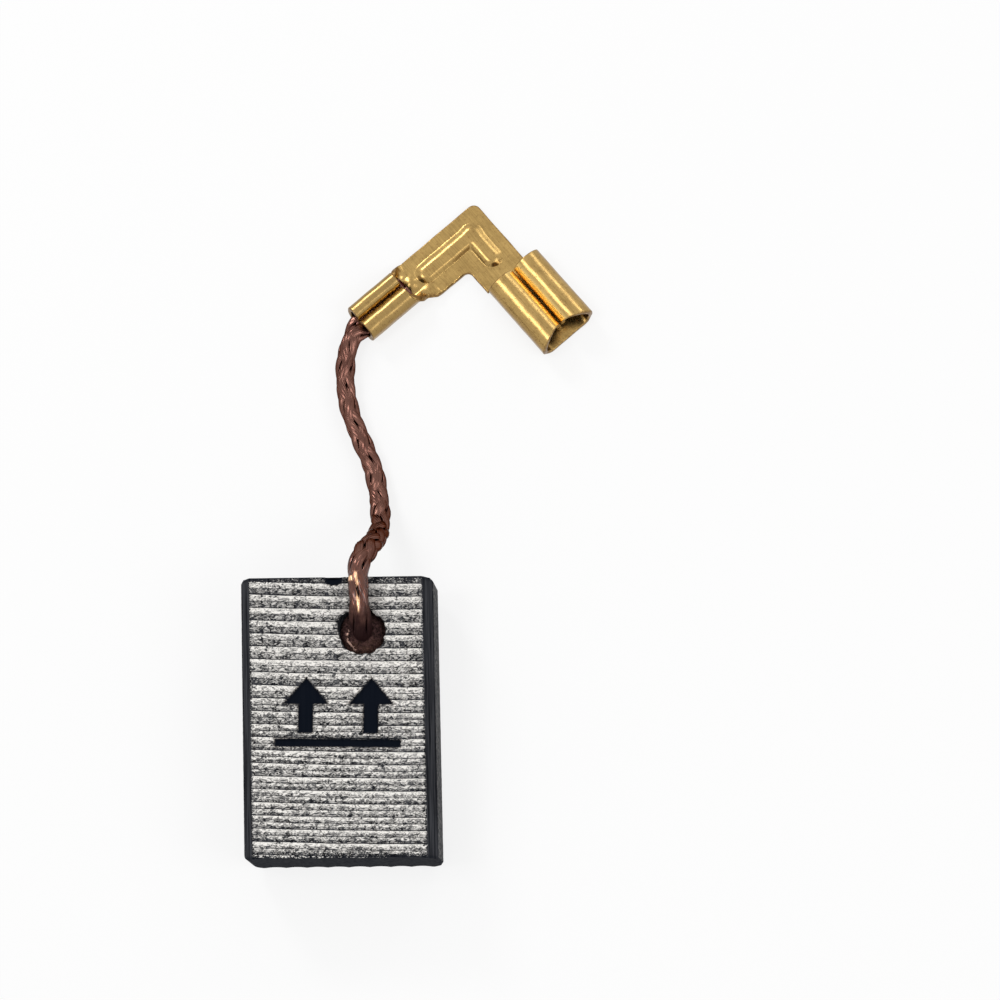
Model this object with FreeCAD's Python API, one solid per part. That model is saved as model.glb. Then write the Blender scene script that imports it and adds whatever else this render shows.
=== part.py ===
import FreeCAD, Part
import math
import os

from FreeCAD import Vector

# Carbon brush with a braided copper lead and a brass flag terminal.
# Millimetres. The block lies on its back: X across its width, Y along its length towards the lead,
# Z up through its thickness. The origin is the middle of the back face.

# Carbon block
BLOCK_WIDTH = 11.0
BLOCK_THICKNESS = 5.0
BLOCK_LENGTH = 16.0
END_SKEW = 0.022             # both ends are out of square: this much lower for each mm to the right
CHAMFER_ON_FACE = 0.6        # long edges, measured on the wide faces
CHAMFER_ON_SIDE = 0.9        # long edges, measured on the narrow sides
TOE_RADIUS = 0.8             # corner of the running end away from the bore
HEEL_BREAK = 0.25            # small cut on each of the other three corners
LEAD_IN_LENGTH = 2.9         # shallow slope at the top of the back face
LEAD_IN_RISE = 0.38
SHOULDER_DROP = 0.6          # rounded edge between that slope and the top end
SHOULDER_HEIGHT = 2.0
RIB_PITCH = 1.2              # ribs of the running end, pressed along the thickness
RIB_GROOVES = 8
RIB_DEPTH = 0.08

# Bore in the front face, with its powder
BORE_DIAMETER = 2.6
BORE_DEPTH = 4.0
BORE_OFFSET = 1.48           # from the middle of the face, across
BORE_FROM_TOP = 3.14         # from the top end
POWDER_SINK = 0.2            # powder level below the face

# Braided lead
LEAD_DIAMETER = 1.2
LEAD_GAP = 0.3               # between the lead and the block's face

# Flag terminal, one brass sheet
SHEET = 0.3
MOUTH_X = 1.23               # where the crimp barrel starts, and the way its axis runs
MOUTH_Y = 23.57
CRIMP_HEADING = 39.0
CRIMP_LENGTH = 3.4
CRIMP_WIDTH = 2.35
CRIMP_HEIGHT = 1.65
CRIMP_CORNER = 0.6           # bend radius at the middle of the sheet
CRIMP_SEAM = 0.06
CRIMP_SEAM_SIDE = 0.15       # the seam lies this far left of the axis
CRIMP_RAKE = 0.2             # the wings start this far behind the floor's end
CRIMP_TIP = 1.0              # height of the wing tips, which stop on the crushed lead
LEAD_PAST_CRIMP = 0.35
NECK_LENGTH = 0.7
NECK_WALL = 0.95             # height of the neck's walls where they leave the barrel
NECK_FLAT = 1.5              # width of the flat sheet there
NECK_RUN_OUT = 1.2           # length over which the walls run out into the web
WEB_WIDTH = 2.95
WEB_SIDE = 0.1               # the web's middle lies this far right of the crimp's axis
WEB_SHOULDER_LENGTH = 0.5    # slanting corner between the neck and the web's inner edge
WEB_SHOULDER_DEPTH = 0.37
LONG_ARM = 5.84              # from the neck to the outer corner
SHORT_ARM = 4.7              # from the outer corner to the receptacle
WEB_OUTER_RADIUS = 0.45
WEB_INNER_RADIUS = 0.35
BEAD_WIDTH = 1.05
BEAD_HEIGHT = 0.24
BEAD_SLOPE = 0.25
BEAD_SETBACK = 1.42          # bead's centre line from the outer edges of both arms
BEAD_FROM_NECK = 0.9         # end of the long leg
BEAD_SHORT_LEG = 1.8         # between the corner and the end of the short leg
BEAD_OUTER_RADIUS = 0.6      # its corner, at its foot
BEAD_INNER_RADIUS = 0.2
RECEPTACLE_WIDTH = 3.74
RECEPTACLE_LENGTH = 5.15
RECEPTACLE_HEIGHT = 1.95
RECEPTACLE_CORNER = 0.6
RECEPTACLE_SEAM = 0.14
RECEPTACLE_NOTCH = 0.8       # at the seam the curls end this far behind the floor's end
RECEPTACLE_OFFSET = 0.43     # its axis lies this far outside the short arm's
TAB_GAP = 0.55               # between the floor and the curl tips, for a 2.8 mm tab

# Worked out from the sizes above
TOP = BLOCK_LENGTH / 2
BORE_Y = TOP - BORE_FROM_TOP
LEAD_RADIUS = LEAD_DIAMETER / 2
LAID = LEAD_RADIUS + 0.01                            # height of the lead's line on the surface
RAISED = BLOCK_THICKNESS + LEAD_GAP + LEAD_RADIUS    # height of its line over the block
WEB_START = CRIMP_LENGTH + NECK_LENGTH
WEB_LEFT = WEB_WIDTH / 2 - WEB_SIDE
WEB_RIGHT = WEB_LEFT - WEB_WIDTH
ELBOW = WEB_START + LONG_ARM
RECEPTACLE_START = WEB_LEFT - SHORT_ARM

# The lead's line: up out of the bore, over the top end, down to the surface and into the crimp.
LEAD_ROUTE = [
    Vector(BORE_OFFSET, BORE_Y - 0.36, BLOCK_THICKNESS - BORE_DEPTH + 0.15),
    Vector(BORE_OFFSET, BORE_Y - 0.33, BLOCK_THICKNESS - 2.45),
    Vector(BORE_OFFSET, BORE_Y - 0.22, BLOCK_THICKNESS - 1.15),
    Vector(BORE_OFFSET - 0.01, BORE_Y + 0.10, BLOCK_THICKNESS + 0.10),
    Vector(BORE_OFFSET - 0.03, BORE_Y + 0.88, RAISED - 0.04),
    Vector(1.40, TOP - 0.80, RAISED + 0.06),
    Vector(1.38, TOP + 0.62, RAISED - 0.10),
    Vector(1.55, TOP + 1.62, RAISED - 1.05),
    Vector(1.90, TOP + 2.32, 3.55),
    Vector(2.22, 11.05, 2.20),
    Vector(2.40, 12.05, 1.15),
    Vector(2.40, 13.35, LAID + 0.05),
    Vector(2.12, 14.75, LAID + 0.01),
    Vector(1.62, 16.15, LAID),
    Vector(0.98, 17.60, LAID),
    Vector(0.52, 19.05, LAID),
    Vector(0.36, 20.55, LAID),
    Vector(0.45, 21.95, LAID + 0.02),
    Vector(0.88, 23.12, LAID + 0.09),
    Vector(1.78, 23.98, LAID + 0.14),
]


def extruded(edges, direction):
    """Solid from a closed run of edges, swept along a vector."""
    return Part.Face(Part.Wire(edges)).extrude(direction)


def outline(points, direction):
    """Solid from a closed polygon, swept along a vector."""
    return Part.Face(Part.makePolygon(points + [points[0]])).extrude(direction)


def line(start, end):
    return Part.LineSegment(start, end).toShape()


def arc(start, middle, end):
    return Part.Arc(start, middle, end).toShape()


def end_drop(x):
    """How far both ends lie below square at this place across the block."""
    return END_SKEW * x


def side_view():
    """The block seen from its narrow side, with the slope and the rounded shoulder at the back.

    It is swept across the block askew, so that both ends come out as they are ground.
    """
    x = 0
    slope_start = Vector(x, TOP - LEAD_IN_LENGTH, 0)
    slope_end = Vector(x, TOP - SHOULDER_DROP, LEAD_IN_RISE)
    shoulder = Vector(x, TOP - 0.2 * SHOULDER_DROP, LEAD_IN_RISE + 0.45 * SHOULDER_HEIGHT)
    shoulder_end = Vector(x, TOP, LEAD_IN_RISE + SHOULDER_HEIGHT)
    front_top = Vector(x, TOP, BLOCK_THICKNESS)
    front_toe = Vector(x, -TOP, BLOCK_THICKNESS)
    back_toe = Vector(x, -TOP, 0)
    edges = [
        line(back_toe, slope_start),
        line(slope_start, slope_end),
        arc(slope_end, shoulder, shoulder_end),
        line(shoulder_end, front_top),
        line(front_top, front_toe),
        line(front_toe, back_toe),
    ]
    half = BLOCK_WIDTH / 2
    slab = extruded(edges, Vector(BLOCK_WIDTH, -end_drop(BLOCK_WIDTH), 0))
    slab.translate(Vector(-half, end_drop(half), 0))
    return slab


def end_view():
    """The block seen from its end, with the four long edges chamfered."""
    half = BLOCK_WIDTH / 2
    on_face = half - CHAMFER_ON_FACE
    low = CHAMFER_ON_SIDE
    high = BLOCK_THICKNESS - CHAMFER_ON_SIDE
    corners = [
        (-on_face, 0), (on_face, 0), (half, low), (half, high),
        (on_face, BLOCK_THICKNESS), (-on_face, BLOCK_THICKNESS), (-half, high), (-half, low),
    ]
    start = -TOP - end_drop(half)
    return outline([Vector(x, start, z) for x, z in corners], Vector(0, -2 * start, 0))


def face_view():
    """The block seen from the front, with its rounded toe and the three small corner cuts."""
    half = BLOCK_WIDTH / 2
    cut = HEEL_BREAK
    lean = TOE_RADIUS * (1 - math.sqrt(0.5))

    def at(x, y):
        return Vector(x, y - end_drop(x), 0)

    toe_side = at(-half, -TOP + TOE_RADIUS)
    toe_end = at(-half + TOE_RADIUS, -TOP)
    toe_middle = at(-half + lean, -TOP + lean)
    others = [
        toe_end, at(half - cut, -TOP), at(half, -TOP + cut), at(half, TOP - cut), at(half - cut, TOP),
        at(-half + cut, TOP), at(-half, TOP - cut), toe_side,
    ]
    edges = [line(a, b) for a, b in zip(others, others[1:])]
    edges.append(arc(toe_side, toe_middle, toe_end))
    return extruded(edges, Vector(0, 0, BLOCK_THICKNESS))


def rib_grooves():
    """Round grooves across the running end: the crests left between them are the ribs."""
    radius = (RIB_DEPTH ** 2 + (RIB_PITCH / 2) ** 2) / (2 * RIB_DEPTH)
    first = -(RIB_GROOVES - 1) * RIB_PITCH / 2
    centre_y = -TOP + RIB_DEPTH - radius
    grooves = []
    for index in range(RIB_GROOVES):
        x = first + index * RIB_PITCH
        foot = Vector(x, centre_y - end_drop(x), -1)
        grooves.append(Part.makeCylinder(radius, BLOCK_THICKNESS + 2, foot))
    return grooves


def bore():
    foot = Vector(BORE_OFFSET, BORE_Y, BLOCK_THICKNESS - BORE_DEPTH)
    return Part.makeCylinder(BORE_DIAMETER / 2, BORE_DEPTH + 1, foot)


def carbon_block():
    block = side_view().common(end_view()).common(face_view())
    return block.cut([bore()] + rib_grooves())


def lead_line():
    """Straight runs joined by the largest tangent arcs that the runs allow, with the arcs' radii."""
    edges = []
    radii = []
    start = LEAD_ROUTE[0]
    for before, corner, after in zip(LEAD_ROUTE, LEAD_ROUTE[1:], LEAD_ROUTE[2:]):
        back = before - corner
        ahead = after - corner
        reach = 0.45 * min(back.Length, ahead.Length)
        half_turn = (math.pi - back.getAngle(ahead)) / 2
        radii.append(reach / math.tan(half_turn))
        back.normalize()
        ahead.normalize()
        arc_start = corner + back * reach
        arc_end = corner + ahead * reach
        inward = (back + ahead).normalize()
        middle = corner + inward * radii[-1] * (1 / math.cos(half_turn) - 1)
        edges.append(line(start, arc_start))
        edges.append(arc(arc_start, middle, arc_end))
        start = arc_end
    edges.append(line(start, LEAD_ROUTE[-1]))
    return Part.Wire(edges), radii


def lead_tube():
    """The round lead along its whole line."""
    path, radii = lead_line()
    ring = Part.Circle(LEAD_ROUTE[0], LEAD_ROUTE[1] - LEAD_ROUTE[0], LEAD_RADIUS).toShape()
    tube = path.makePipeShell([Part.Wire([ring])], True, True)
    print("lead radii", [round(radius, 2) for radius in radii])
    print("lead line", round(path.Length, 2), "volume", round(tube.Volume, 3),
          "section x length", round(math.pi * LEAD_RADIUS ** 2 * path.Length, 3))
    return tube


def set_down(shape):
    """Carry a piece of the terminal from its own axes, with the crimp along X, to its place."""
    shape.rotate(Vector(0, 0, 0), Vector(0, 0, 1), CRIMP_HEADING)
    shape.translate(Vector(MOUTH_X, MOUTH_Y, 0))
    return shape


def crushed_lead():
    """The lead inside the crimp, pressed to the floor, the rounded walls and the wing tips."""
    half = CRIMP_WIDTH / 2 - SHEET
    bend = CRIMP_CORNER - SHEET / 2
    lean = bend * (1 - math.sqrt(0.5))
    low = SHEET

    def at(y, z):
        return Vector(0, y, z)

    edges = [
        line(at(-half + bend, low), at(half - bend, low)),
        arc(at(half - bend, low), at(half - lean, low + lean), at(half, low + bend)),
        line(at(half, low + bend), at(half, CRIMP_TIP)),
        line(at(half, CRIMP_TIP), at(-half, CRIMP_TIP)),
        line(at(-half, CRIMP_TIP), at(-half, low + bend)),
        arc(at(-half, low + bend), at(-half + lean, low + lean), at(-half + bend, low)),
    ]
    return set_down(extruded(edges, Vector(CRIMP_LENGTH + LEAD_PAST_CRIMP, 0, 0)))


def shunt_braid(tube):
    """One lead: round outside, crushed inside the crimp."""
    behind_mouth = Part.makeBox(9, 9, 9, Vector(0, -4.5, -4.5))
    return tube.cut(set_down(behind_mouth)).fuse(crushed_lead()).removeSplitter()


def tamped_powder(tube):
    """Fills the bore round the lead, to just under the face."""
    foot = Vector(BORE_OFFSET, BORE_Y, BLOCK_THICKNESS - BORE_DEPTH)
    plug = Part.makeCylinder(BORE_DIAMETER / 2, BORE_DEPTH - POWDER_SINK, foot)
    return plug.cut(tube)


def sheet_section(start, heading, bends):
    """Closed outline of bent sheet in the YZ plane. Each bend is (straight, radius, turn in degrees)."""
    half = SHEET / 2
    angle = math.radians(heading)
    y, z = start
    left = []
    right = []

    def beside(offset, at_angle, at_y, at_z):
        return Vector(0, at_y - offset * math.sin(at_angle), at_z + offset * math.cos(at_angle))

    for straight, radius, turn in bends:
        end_y = y + straight * math.cos(angle)
        end_z = z + straight * math.sin(angle)
        left.append(line(beside(half, angle, y, z), beside(half, angle, end_y, end_z)))
        right.append(line(beside(-half, angle, y, z), beside(-half, angle, end_y, end_z)))
        y, z = end_y, end_z
        if turn:
            sweep = math.radians(turn)
            centre_y = y - radius * math.sin(angle)
            centre_z = z + radius * math.cos(angle)
            stations = [angle, angle + sweep / 2, angle + sweep]
            places = [(centre_y + radius * math.sin(a), centre_z - radius * math.cos(a)) for a in stations]
            left.append(arc(*[beside(half, a, *place) for a, place in zip(stations, places)]))
            right.append(arc(*[beside(-half, a, *place) for a, place in zip(stations, places)]))
            angle += sweep
            y, z = places[-1]
    first = line(left[0].firstVertex().Point, right[0].firstVertex().Point)
    last = line(left[-1].lastVertex().Point, right[-1].lastVertex().Point)
    return Part.Face(Part.Wire(Part.__sortEdges__(left + right + [first, last])))


def rolled_section(width, height, corner, seam, seam_side, tip):
    """Floor, two rounded walls, and two curls rolled inwards until their tips point down at the floor."""
    wall = width / 2 - SHEET / 2
    crown = height - SHEET / 2

    def curl(tip_distance):
        roll = (wall - tip_distance) / 2
        centre = crown - roll
        return roll, centre - tip, centre - SHEET / 2 - corner

    left_tip = seam / 2 + SHEET / 2 + seam_side
    right_tip = seam / 2 + SHEET / 2 - seam_side
    left_roll, left_drop, left_upright = curl(left_tip)
    right_roll, right_drop, right_upright = curl(right_tip)
    bends = [
        (right_drop, right_roll, 180),
        (right_upright, corner, 90),
        (2 * (wall - corner), corner, 90),
        (left_upright, left_roll, 180),
        (left_drop, 0, 0),
    ]
    return sheet_section((-right_tip, tip), 90, bends)


def crimp_barrel():
    """The barrel rolled over the lead, its wings starting a little behind its floor."""
    section = rolled_section(CRIMP_WIDTH, CRIMP_HEIGHT, CRIMP_CORNER, CRIMP_SEAM, CRIMP_SEAM_SIDE,
                             CRIMP_TIP)
    barrel = section.extrude(Vector(CRIMP_LENGTH, 0, 0))
    before_wings = [
        Vector(0, -CRIMP_WIDTH, SHEET),
        Vector(CRIMP_RAKE, -CRIMP_WIDTH, CRIMP_HEIGHT),
        Vector(0, -CRIMP_WIDTH, CRIMP_HEIGHT),
    ]
    return barrel.cut(outline(before_wings, Vector(0, 2 * CRIMP_WIDTH, 0)))


def neck():
    """A channel whose walls run out into the flat web."""
    wall = CRIMP_WIDTH / 2 - SHEET / 2
    upright = NECK_WALL - SHEET / 2 - CRIMP_CORNER
    bends = [
        (upright, CRIMP_CORNER, 90),
        (2 * (wall - CRIMP_CORNER), CRIMP_CORNER, 90),
        (upright, 0, 0),
    ]
    end = NECK_LENGTH + NECK_RUN_OUT
    channel = sheet_section((-wall, NECK_WALL), -90, bends).extrude(Vector(end, 0, 0))
    above = [
        Vector(0, -WEB_WIDTH, NECK_WALL),
        Vector(end, -WEB_WIDTH, 0.6 * SHEET),
        Vector(end, -WEB_WIDTH, 2 * NECK_WALL),
        Vector(0, -WEB_WIDTH, 2 * NECK_WALL),
    ]
    channel = channel.cut(outline(above, Vector(0, 2 * WEB_WIDTH, 0)))
    channel.translate(Vector(CRIMP_LENGTH, 0, 0))
    return channel


def flat_web():
    """The L-shaped flat between the neck and the receptacle."""
    inner = ELBOW - WEB_WIDTH
    corners = [
        (CRIMP_LENGTH, -NECK_FLAT / 2), (WEB_START, WEB_RIGHT + WEB_SHOULDER_DEPTH),
        (WEB_START + WEB_SHOULDER_LENGTH, WEB_RIGHT), (inner, WEB_RIGHT), (inner, RECEPTACLE_START),
        (ELBOW, RECEPTACLE_START), (ELBOW, WEB_LEFT), (WEB_START - NECK_LENGTH / 2, WEB_LEFT),
        (CRIMP_LENGTH, NECK_FLAT / 2),
    ]
    web = outline([Vector(x, y, 0) for x, y in corners], Vector(0, 0, SHEET))

    def upright_edge(x, y):
        for edge in web.Edges:
            middle = edge.CenterOfMass
            if abs(middle.x - x) < 1e-6 and abs(middle.y - y) < 1e-6:
                return edge

    web = web.makeFillet(WEB_OUTER_RADIUS, [upright_edge(ELBOW, WEB_LEFT)])
    return web.makeFillet(WEB_INNER_RADIUS, [upright_edge(inner, WEB_RIGHT)])


def bead_outline(inset, z):
    """Wire round the L-shaped bead, rounded at its corner and ends, this far inside its foot."""
    half_width = BEAD_WIDTH / 2 - inset
    level = WEB_LEFT - BEAD_SETBACK
    upright = ELBOW - BEAD_SETBACK
    start = WEB_START + BEAD_FROM_NECK
    foot = level - BEAD_SHORT_LEG
    outer = BEAD_OUTER_RADIUS - inset
    inner = BEAD_INNER_RADIUS + inset
    right = upright + half_width
    left = upright - half_width
    top = level + half_width
    bottom = level - half_width
    lean = 1 - math.sqrt(0.5)
    outer_lean = outer * lean
    inner_lean = inner * lean

    def at(x, y):
        return Vector(x, y, z)

    return Part.Wire([
        line(at(start, top), at(right - outer, top)),
        arc(at(right - outer, top), at(right - outer_lean, top - outer_lean), at(right, top - outer)),
        line(at(right, top - outer), at(right, foot)),
        arc(at(right, foot), at(upright, foot - half_width), at(left, foot)),
        line(at(left, foot), at(left, bottom - inner)),
        arc(at(left, bottom - inner), at(left - inner_lean, bottom - inner_lean), at(left - inner, bottom)),
        line(at(left - inner, bottom), at(start, bottom)),
        arc(at(start, bottom), at(start - half_width, level), at(start, top)),
    ])


def bead(base, rise):
    """A low L-shaped ridge with sloping flanks."""
    wide = bead_outline(0, base)
    narrow = bead_outline(BEAD_SLOPE, base + rise)
    return Part.makeLoft([wide, narrow], True, True)


def receptacle():
    """The socket for the tab, turned to run down from the short arm. A V is cut out of its curls' ends."""
    half = RECEPTACLE_WIDTH / 2
    section = rolled_section(RECEPTACLE_WIDTH, RECEPTACLE_HEIGHT, RECEPTACLE_CORNER, RECEPTACLE_SEAM, 0,
                             SHEET + TAB_GAP)
    shell = section.extrude(Vector(RECEPTACLE_LENGTH, 0, 0))
    notch = [
        Vector(RECEPTACLE_LENGTH, -half, SHEET),
        Vector(RECEPTACLE_LENGTH - RECEPTACLE_NOTCH, 0, SHEET),
        Vector(RECEPTACLE_LENGTH, half, SHEET),
    ]
    shell = shell.cut(outline(notch, Vector(0, 0, RECEPTACLE_HEIGHT)))
    shell.rotate(Vector(0, 0, 0), Vector(0, 0, 1), -90)
    shell.translate(Vector(ELBOW - WEB_WIDTH / 2 + RECEPTACLE_OFFSET, RECEPTACLE_START, 0))
    return shell


def flag_terminal():
    """One sheet: crimp, neck, web with its bead pushed up from below, and receptacle."""
    sheet = flat_web().fuse([neck(), crimp_barrel(), receptacle()])
    sheet = sheet.fuse(bead(SHEET, BEAD_HEIGHT)).cut(bead(0, BEAD_HEIGHT))
    return set_down(sheet.removeSplitter())


def main():
    os.makedirs("parts", exist_ok=True)
    tube = lead_tube()
    pieces = {
        "carbon_block": carbon_block(),
        "tamped_powder": tamped_powder(tube),
        "shunt_braid": shunt_braid(tube),
        "flag_terminal": flag_terminal(),
    }
    for name, shape in pieces.items():
        print(name, "valid", shape.isValid(), "solids", len(shape.Solids), "volume", round(shape.Volume, 3))
        shape.exportStep(os.path.join("parts", name + ".step"))


main()
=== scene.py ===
import math

import bpy
import numpy as np
from mathutils import Matrix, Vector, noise


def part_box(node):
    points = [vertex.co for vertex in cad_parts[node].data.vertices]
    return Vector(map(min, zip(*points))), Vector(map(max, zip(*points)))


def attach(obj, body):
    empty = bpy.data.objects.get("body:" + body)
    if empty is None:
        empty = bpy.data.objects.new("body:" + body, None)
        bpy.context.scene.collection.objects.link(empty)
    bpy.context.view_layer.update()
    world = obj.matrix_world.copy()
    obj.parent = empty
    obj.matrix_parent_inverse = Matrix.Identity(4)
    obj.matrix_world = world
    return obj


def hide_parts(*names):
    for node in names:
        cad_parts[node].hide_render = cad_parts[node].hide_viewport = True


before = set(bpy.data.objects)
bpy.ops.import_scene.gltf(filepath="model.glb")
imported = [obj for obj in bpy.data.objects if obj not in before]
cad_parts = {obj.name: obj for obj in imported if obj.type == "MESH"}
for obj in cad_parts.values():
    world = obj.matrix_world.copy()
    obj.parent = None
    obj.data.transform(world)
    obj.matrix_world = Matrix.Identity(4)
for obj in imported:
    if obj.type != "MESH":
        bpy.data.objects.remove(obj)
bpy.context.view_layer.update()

MM = 0.001


# Carbon block
# A block of carbon with copper in it, pressed, baked and ground to 5 x 11 x 16 mm. Its wide and narrow faces
# are ground bright in coarse rows, and its chamfers, ends and bore keep the dark skin. The mark on the front
# face, two arrows over a bar, is pressed in.

BLOCK_LENGTH = 16.0
GRID_STEP = 0.086
CHAMFER_ON_FACE = 0.6
CHAMFER_ON_SIDE = 0.9
TOE_RADIUS = 0.32
HEEL_BREAK = 0.16
LEAD_IN_LENGTH = 2.9
LEAD_IN_RISE = 0.38
SHOULDER_DROP = 0.6
SHOULDER_HEIGHT = 2.0
END_SKEW = 0.022
SKEW_FROM = 6.6
RIB_PITCH = 1.2
RIB_GROOVES = 8
RIB_DEPTH = 0.05
RIB_FADE = 1.0
ROW_PITCH = 0.74
ROW_TILT = 0.0475
ROW_BEND = -0.00175
ROW_START = 0.234
ROW_DEPTH = 0.035
BORE = (1.48, 4.86)
BORE_RADIUS = 1.3
BORE_BOTTOM = 1.0
BORE_WINDOW = 2.0
BORE_RINGS = 13
MOUTH_LAYERS = ((0.05, 0.12), (0.16, 0.45), (0.34, 0.85), (0.6, 1.0))
MARK_DEPTH = 0.16
MARK_SLOPE = 0.11
MARK_MIDDLE = (0.05, 0.25)
MARK_TURN = 2.3
ARROW_SPREAD = 1.85
HEAD_HALF_WIDTH = 1.25
HEAD_HEIGHT = 1.45
HEAD_FOOT = 0.5
SHAFT_HALF_WIDTH = 0.4
SHAFT_HALF_HEIGHT = 0.95
SHAFT_MIDDLE = -0.2
BAR_HALF_WIDTH = 3.55
BAR_HALF_HEIGHT = 0.21
BAR_MIDDLE = -1.72
CHIP_X = -0.1
CHIP_HALF_WIDTH = 0.55
CHIP_REACH = 0.55
CHIP_DEPTH = 0.3
MOUTH_WEAR = 0.04
MOUTH_CHIPS = ((2.55, 0.28, 0.22), (-0.55, 0.16, 0.12), (3.0, 0.12, 0.08), (0.95, 0.35, -0.12))
FACET_CHANGE = (0.42, 0.62)
MEAN_LEVEL = 0.61
FLECK_SPREAD = 0.84
LEVEL_POWER = 1.6
SKIN_COLOURS = ((0.006, 0.0065, 0.009, 1), (0.050, 0.052, 0.059, 1))
MARK_COLOUR = (0.004, 0.006, 0.011, 1)
GROUND_COLOUR = (0.84, 0.815, 0.775, 1)
HALO_COLOUR = (0.62, 0.53, 0.44, 1)

block_high = np.array(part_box("carbon_block")[1]) / MM
HALF_WIDTH = block_high[0]
FACE_HALF_WIDTH = HALF_WIDTH - CHAMFER_ON_FACE
HALF_LENGTH = BLOCK_LENGTH / 2
THICKNESS = block_high[2]


def steps(low, high, step, also=()):
    """Evenly spaced places from low to high. Each one in also takes the place of its nearest neighbour."""
    places = np.linspace(low, high, int(round(abs(high - low) / step)) + 1)
    for place in also:
        places[np.abs(places - place).argmin()] = place
    return places


def smooth(value, low, high):
    """0 below low and 1 above high, with a smooth rise."""
    share = np.clip((value - low) / (high - low), 0, 1)
    return share * share * (3 - 2 * share)


def bell(value, middle, width):
    """A smooth hump, 1 at its middle."""
    return np.exp(-((value - middle) / width) ** 2)


def wave_noise(points, size, seed):
    """Smooth noise from -1 to 1 at points in mm, with bumps about this many mm across."""
    offset = seed * 17.3
    return np.array([noise.noise((p[0] / size + offset, p[1] / size, p[2] / size)) for p in points])


def box_skin(xs, ys, zs):
    """The six faces of a box as one closed grid: its points, and quads with their normals outwards."""
    shape = (len(xs), len(ys), len(zs))
    on_skin = np.zeros(shape, bool)
    for axis in range(3):
        for end in (0, -1):
            on_skin[tuple(end if a == axis else slice(None) for a in range(3))] = True
    number = np.full(shape, -1)
    number[on_skin] = np.arange(on_skin.sum())
    grid = np.stack(np.meshgrid(xs, ys, zs, indexing="ij"), axis=-1)
    quads = []
    for axis in range(3):
        for end in (0, -1):
            side = number[tuple(end if a == axis else slice(None) for a in range(3))]
            around = np.stack([side[:-1, :-1], side[1:, :-1], side[1:, 1:], side[:-1, 1:]], axis=-1)
            outward = (end == -1) == (axis != 1)
            quads.append(around.reshape(-1, 4)[:, ::1 if outward else -1])
    return grid[on_skin], np.concatenate(quads)


def press_flat(points, normal, foot):
    """Points beyond the plane through foot drop back onto it."""
    normal = np.array(normal) / np.linalg.norm(normal)
    over = np.maximum(points @ normal - np.array(foot) @ normal, 0)
    return points - over[:, None] * normal


def press_round(points, centre, radius):
    """Points beyond a rounded upright edge, on the low side of its centre, drop back onto the rounding."""
    away = points[:, :2] - np.array(centre)
    far = np.linalg.norm(away, axis=1)
    beyond = (away < 0).all(axis=1) & (far > radius)
    rounded = np.array(centre) + away * (radius / np.maximum(far, 1e-9))[:, None]
    return np.column_stack([np.where(beyond[:, None], rounded, points[:, :2]), points[:, 2]])


def askew(x, y):
    """Places along the block with both ends out of square."""
    share = np.clip((np.abs(y) - SKEW_FROM) / (HALF_LENGTH - SKEW_FROM), 0, 1)
    return y - END_SKEW * x * share


def mark_distance(x, y):
    """Distance outside the pressed mark in mm, negative inside it."""
    from_x, from_y = x - MARK_MIDDLE[0], y - MARK_MIDDLE[1]
    c, s = math.cos(math.radians(MARK_TURN)), math.sin(math.radians(MARK_TURN))
    x, y = from_x * c - from_y * s, from_x * s + from_y * c
    arrow_x = np.abs(np.abs(x) - ARROW_SPREAD)
    slope = np.array([HEAD_HEIGHT, HEAD_HALF_WIDTH]) / math.hypot(HEAD_HEIGHT, HEAD_HALF_WIDTH)
    head = np.maximum((arrow_x - HEAD_HALF_WIDTH) * slope[0] + (y - HEAD_FOOT) * slope[1], HEAD_FOOT - y)
    shaft = np.maximum(arrow_x - SHAFT_HALF_WIDTH, np.abs(y - SHAFT_MIDDLE) - SHAFT_HALF_HEIGHT)
    bar = np.maximum(np.abs(x) - BAR_HALF_WIDTH, np.abs(y - BAR_MIDDLE) - BAR_HALF_HEIGHT)
    return np.minimum(np.minimum(head, shaft), bar)


def row_height(x, y):
    """Height of the ground rows on the front face, from 0 on their crests to -1 in the cuts between."""
    along = (y - ROW_START + ROW_TILT * x + ROW_BEND * x * x) / ROW_PITCH
    place = along - np.floor(along)
    facet = 0.5 * (1 - smooth(place, *FACET_CHANGE))
    cut = 0.7 * bell(place, 0.05, 0.07) + 0.4 * bell(place, 0.52, 0.06)
    return -np.clip(facet + cut, 0, 1)


def bore_edge(angle):
    """Radius of the bore's ragged mouth. MOUTH_CHIPS gives the angle, width and depth of its chips, and, with
    a minus, those of a tight place."""
    ragged = 0.035 * np.sin(5 * angle + 0.6) + 0.03 * np.sin(11 * angle + 2.1) + 0.02 * np.sin(23 * angle)
    crumbled = sum(depth * bell(angle, middle, width) for middle, width, depth in MOUTH_CHIPS)
    return BORE_RADIUS + MOUTH_WEAR + ragged + crumbled


def window_in(places, middle):
    """The places of a grid that lie in the square window round the bore."""
    return places[np.abs(places - middle) < BORE_WINDOW]


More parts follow.
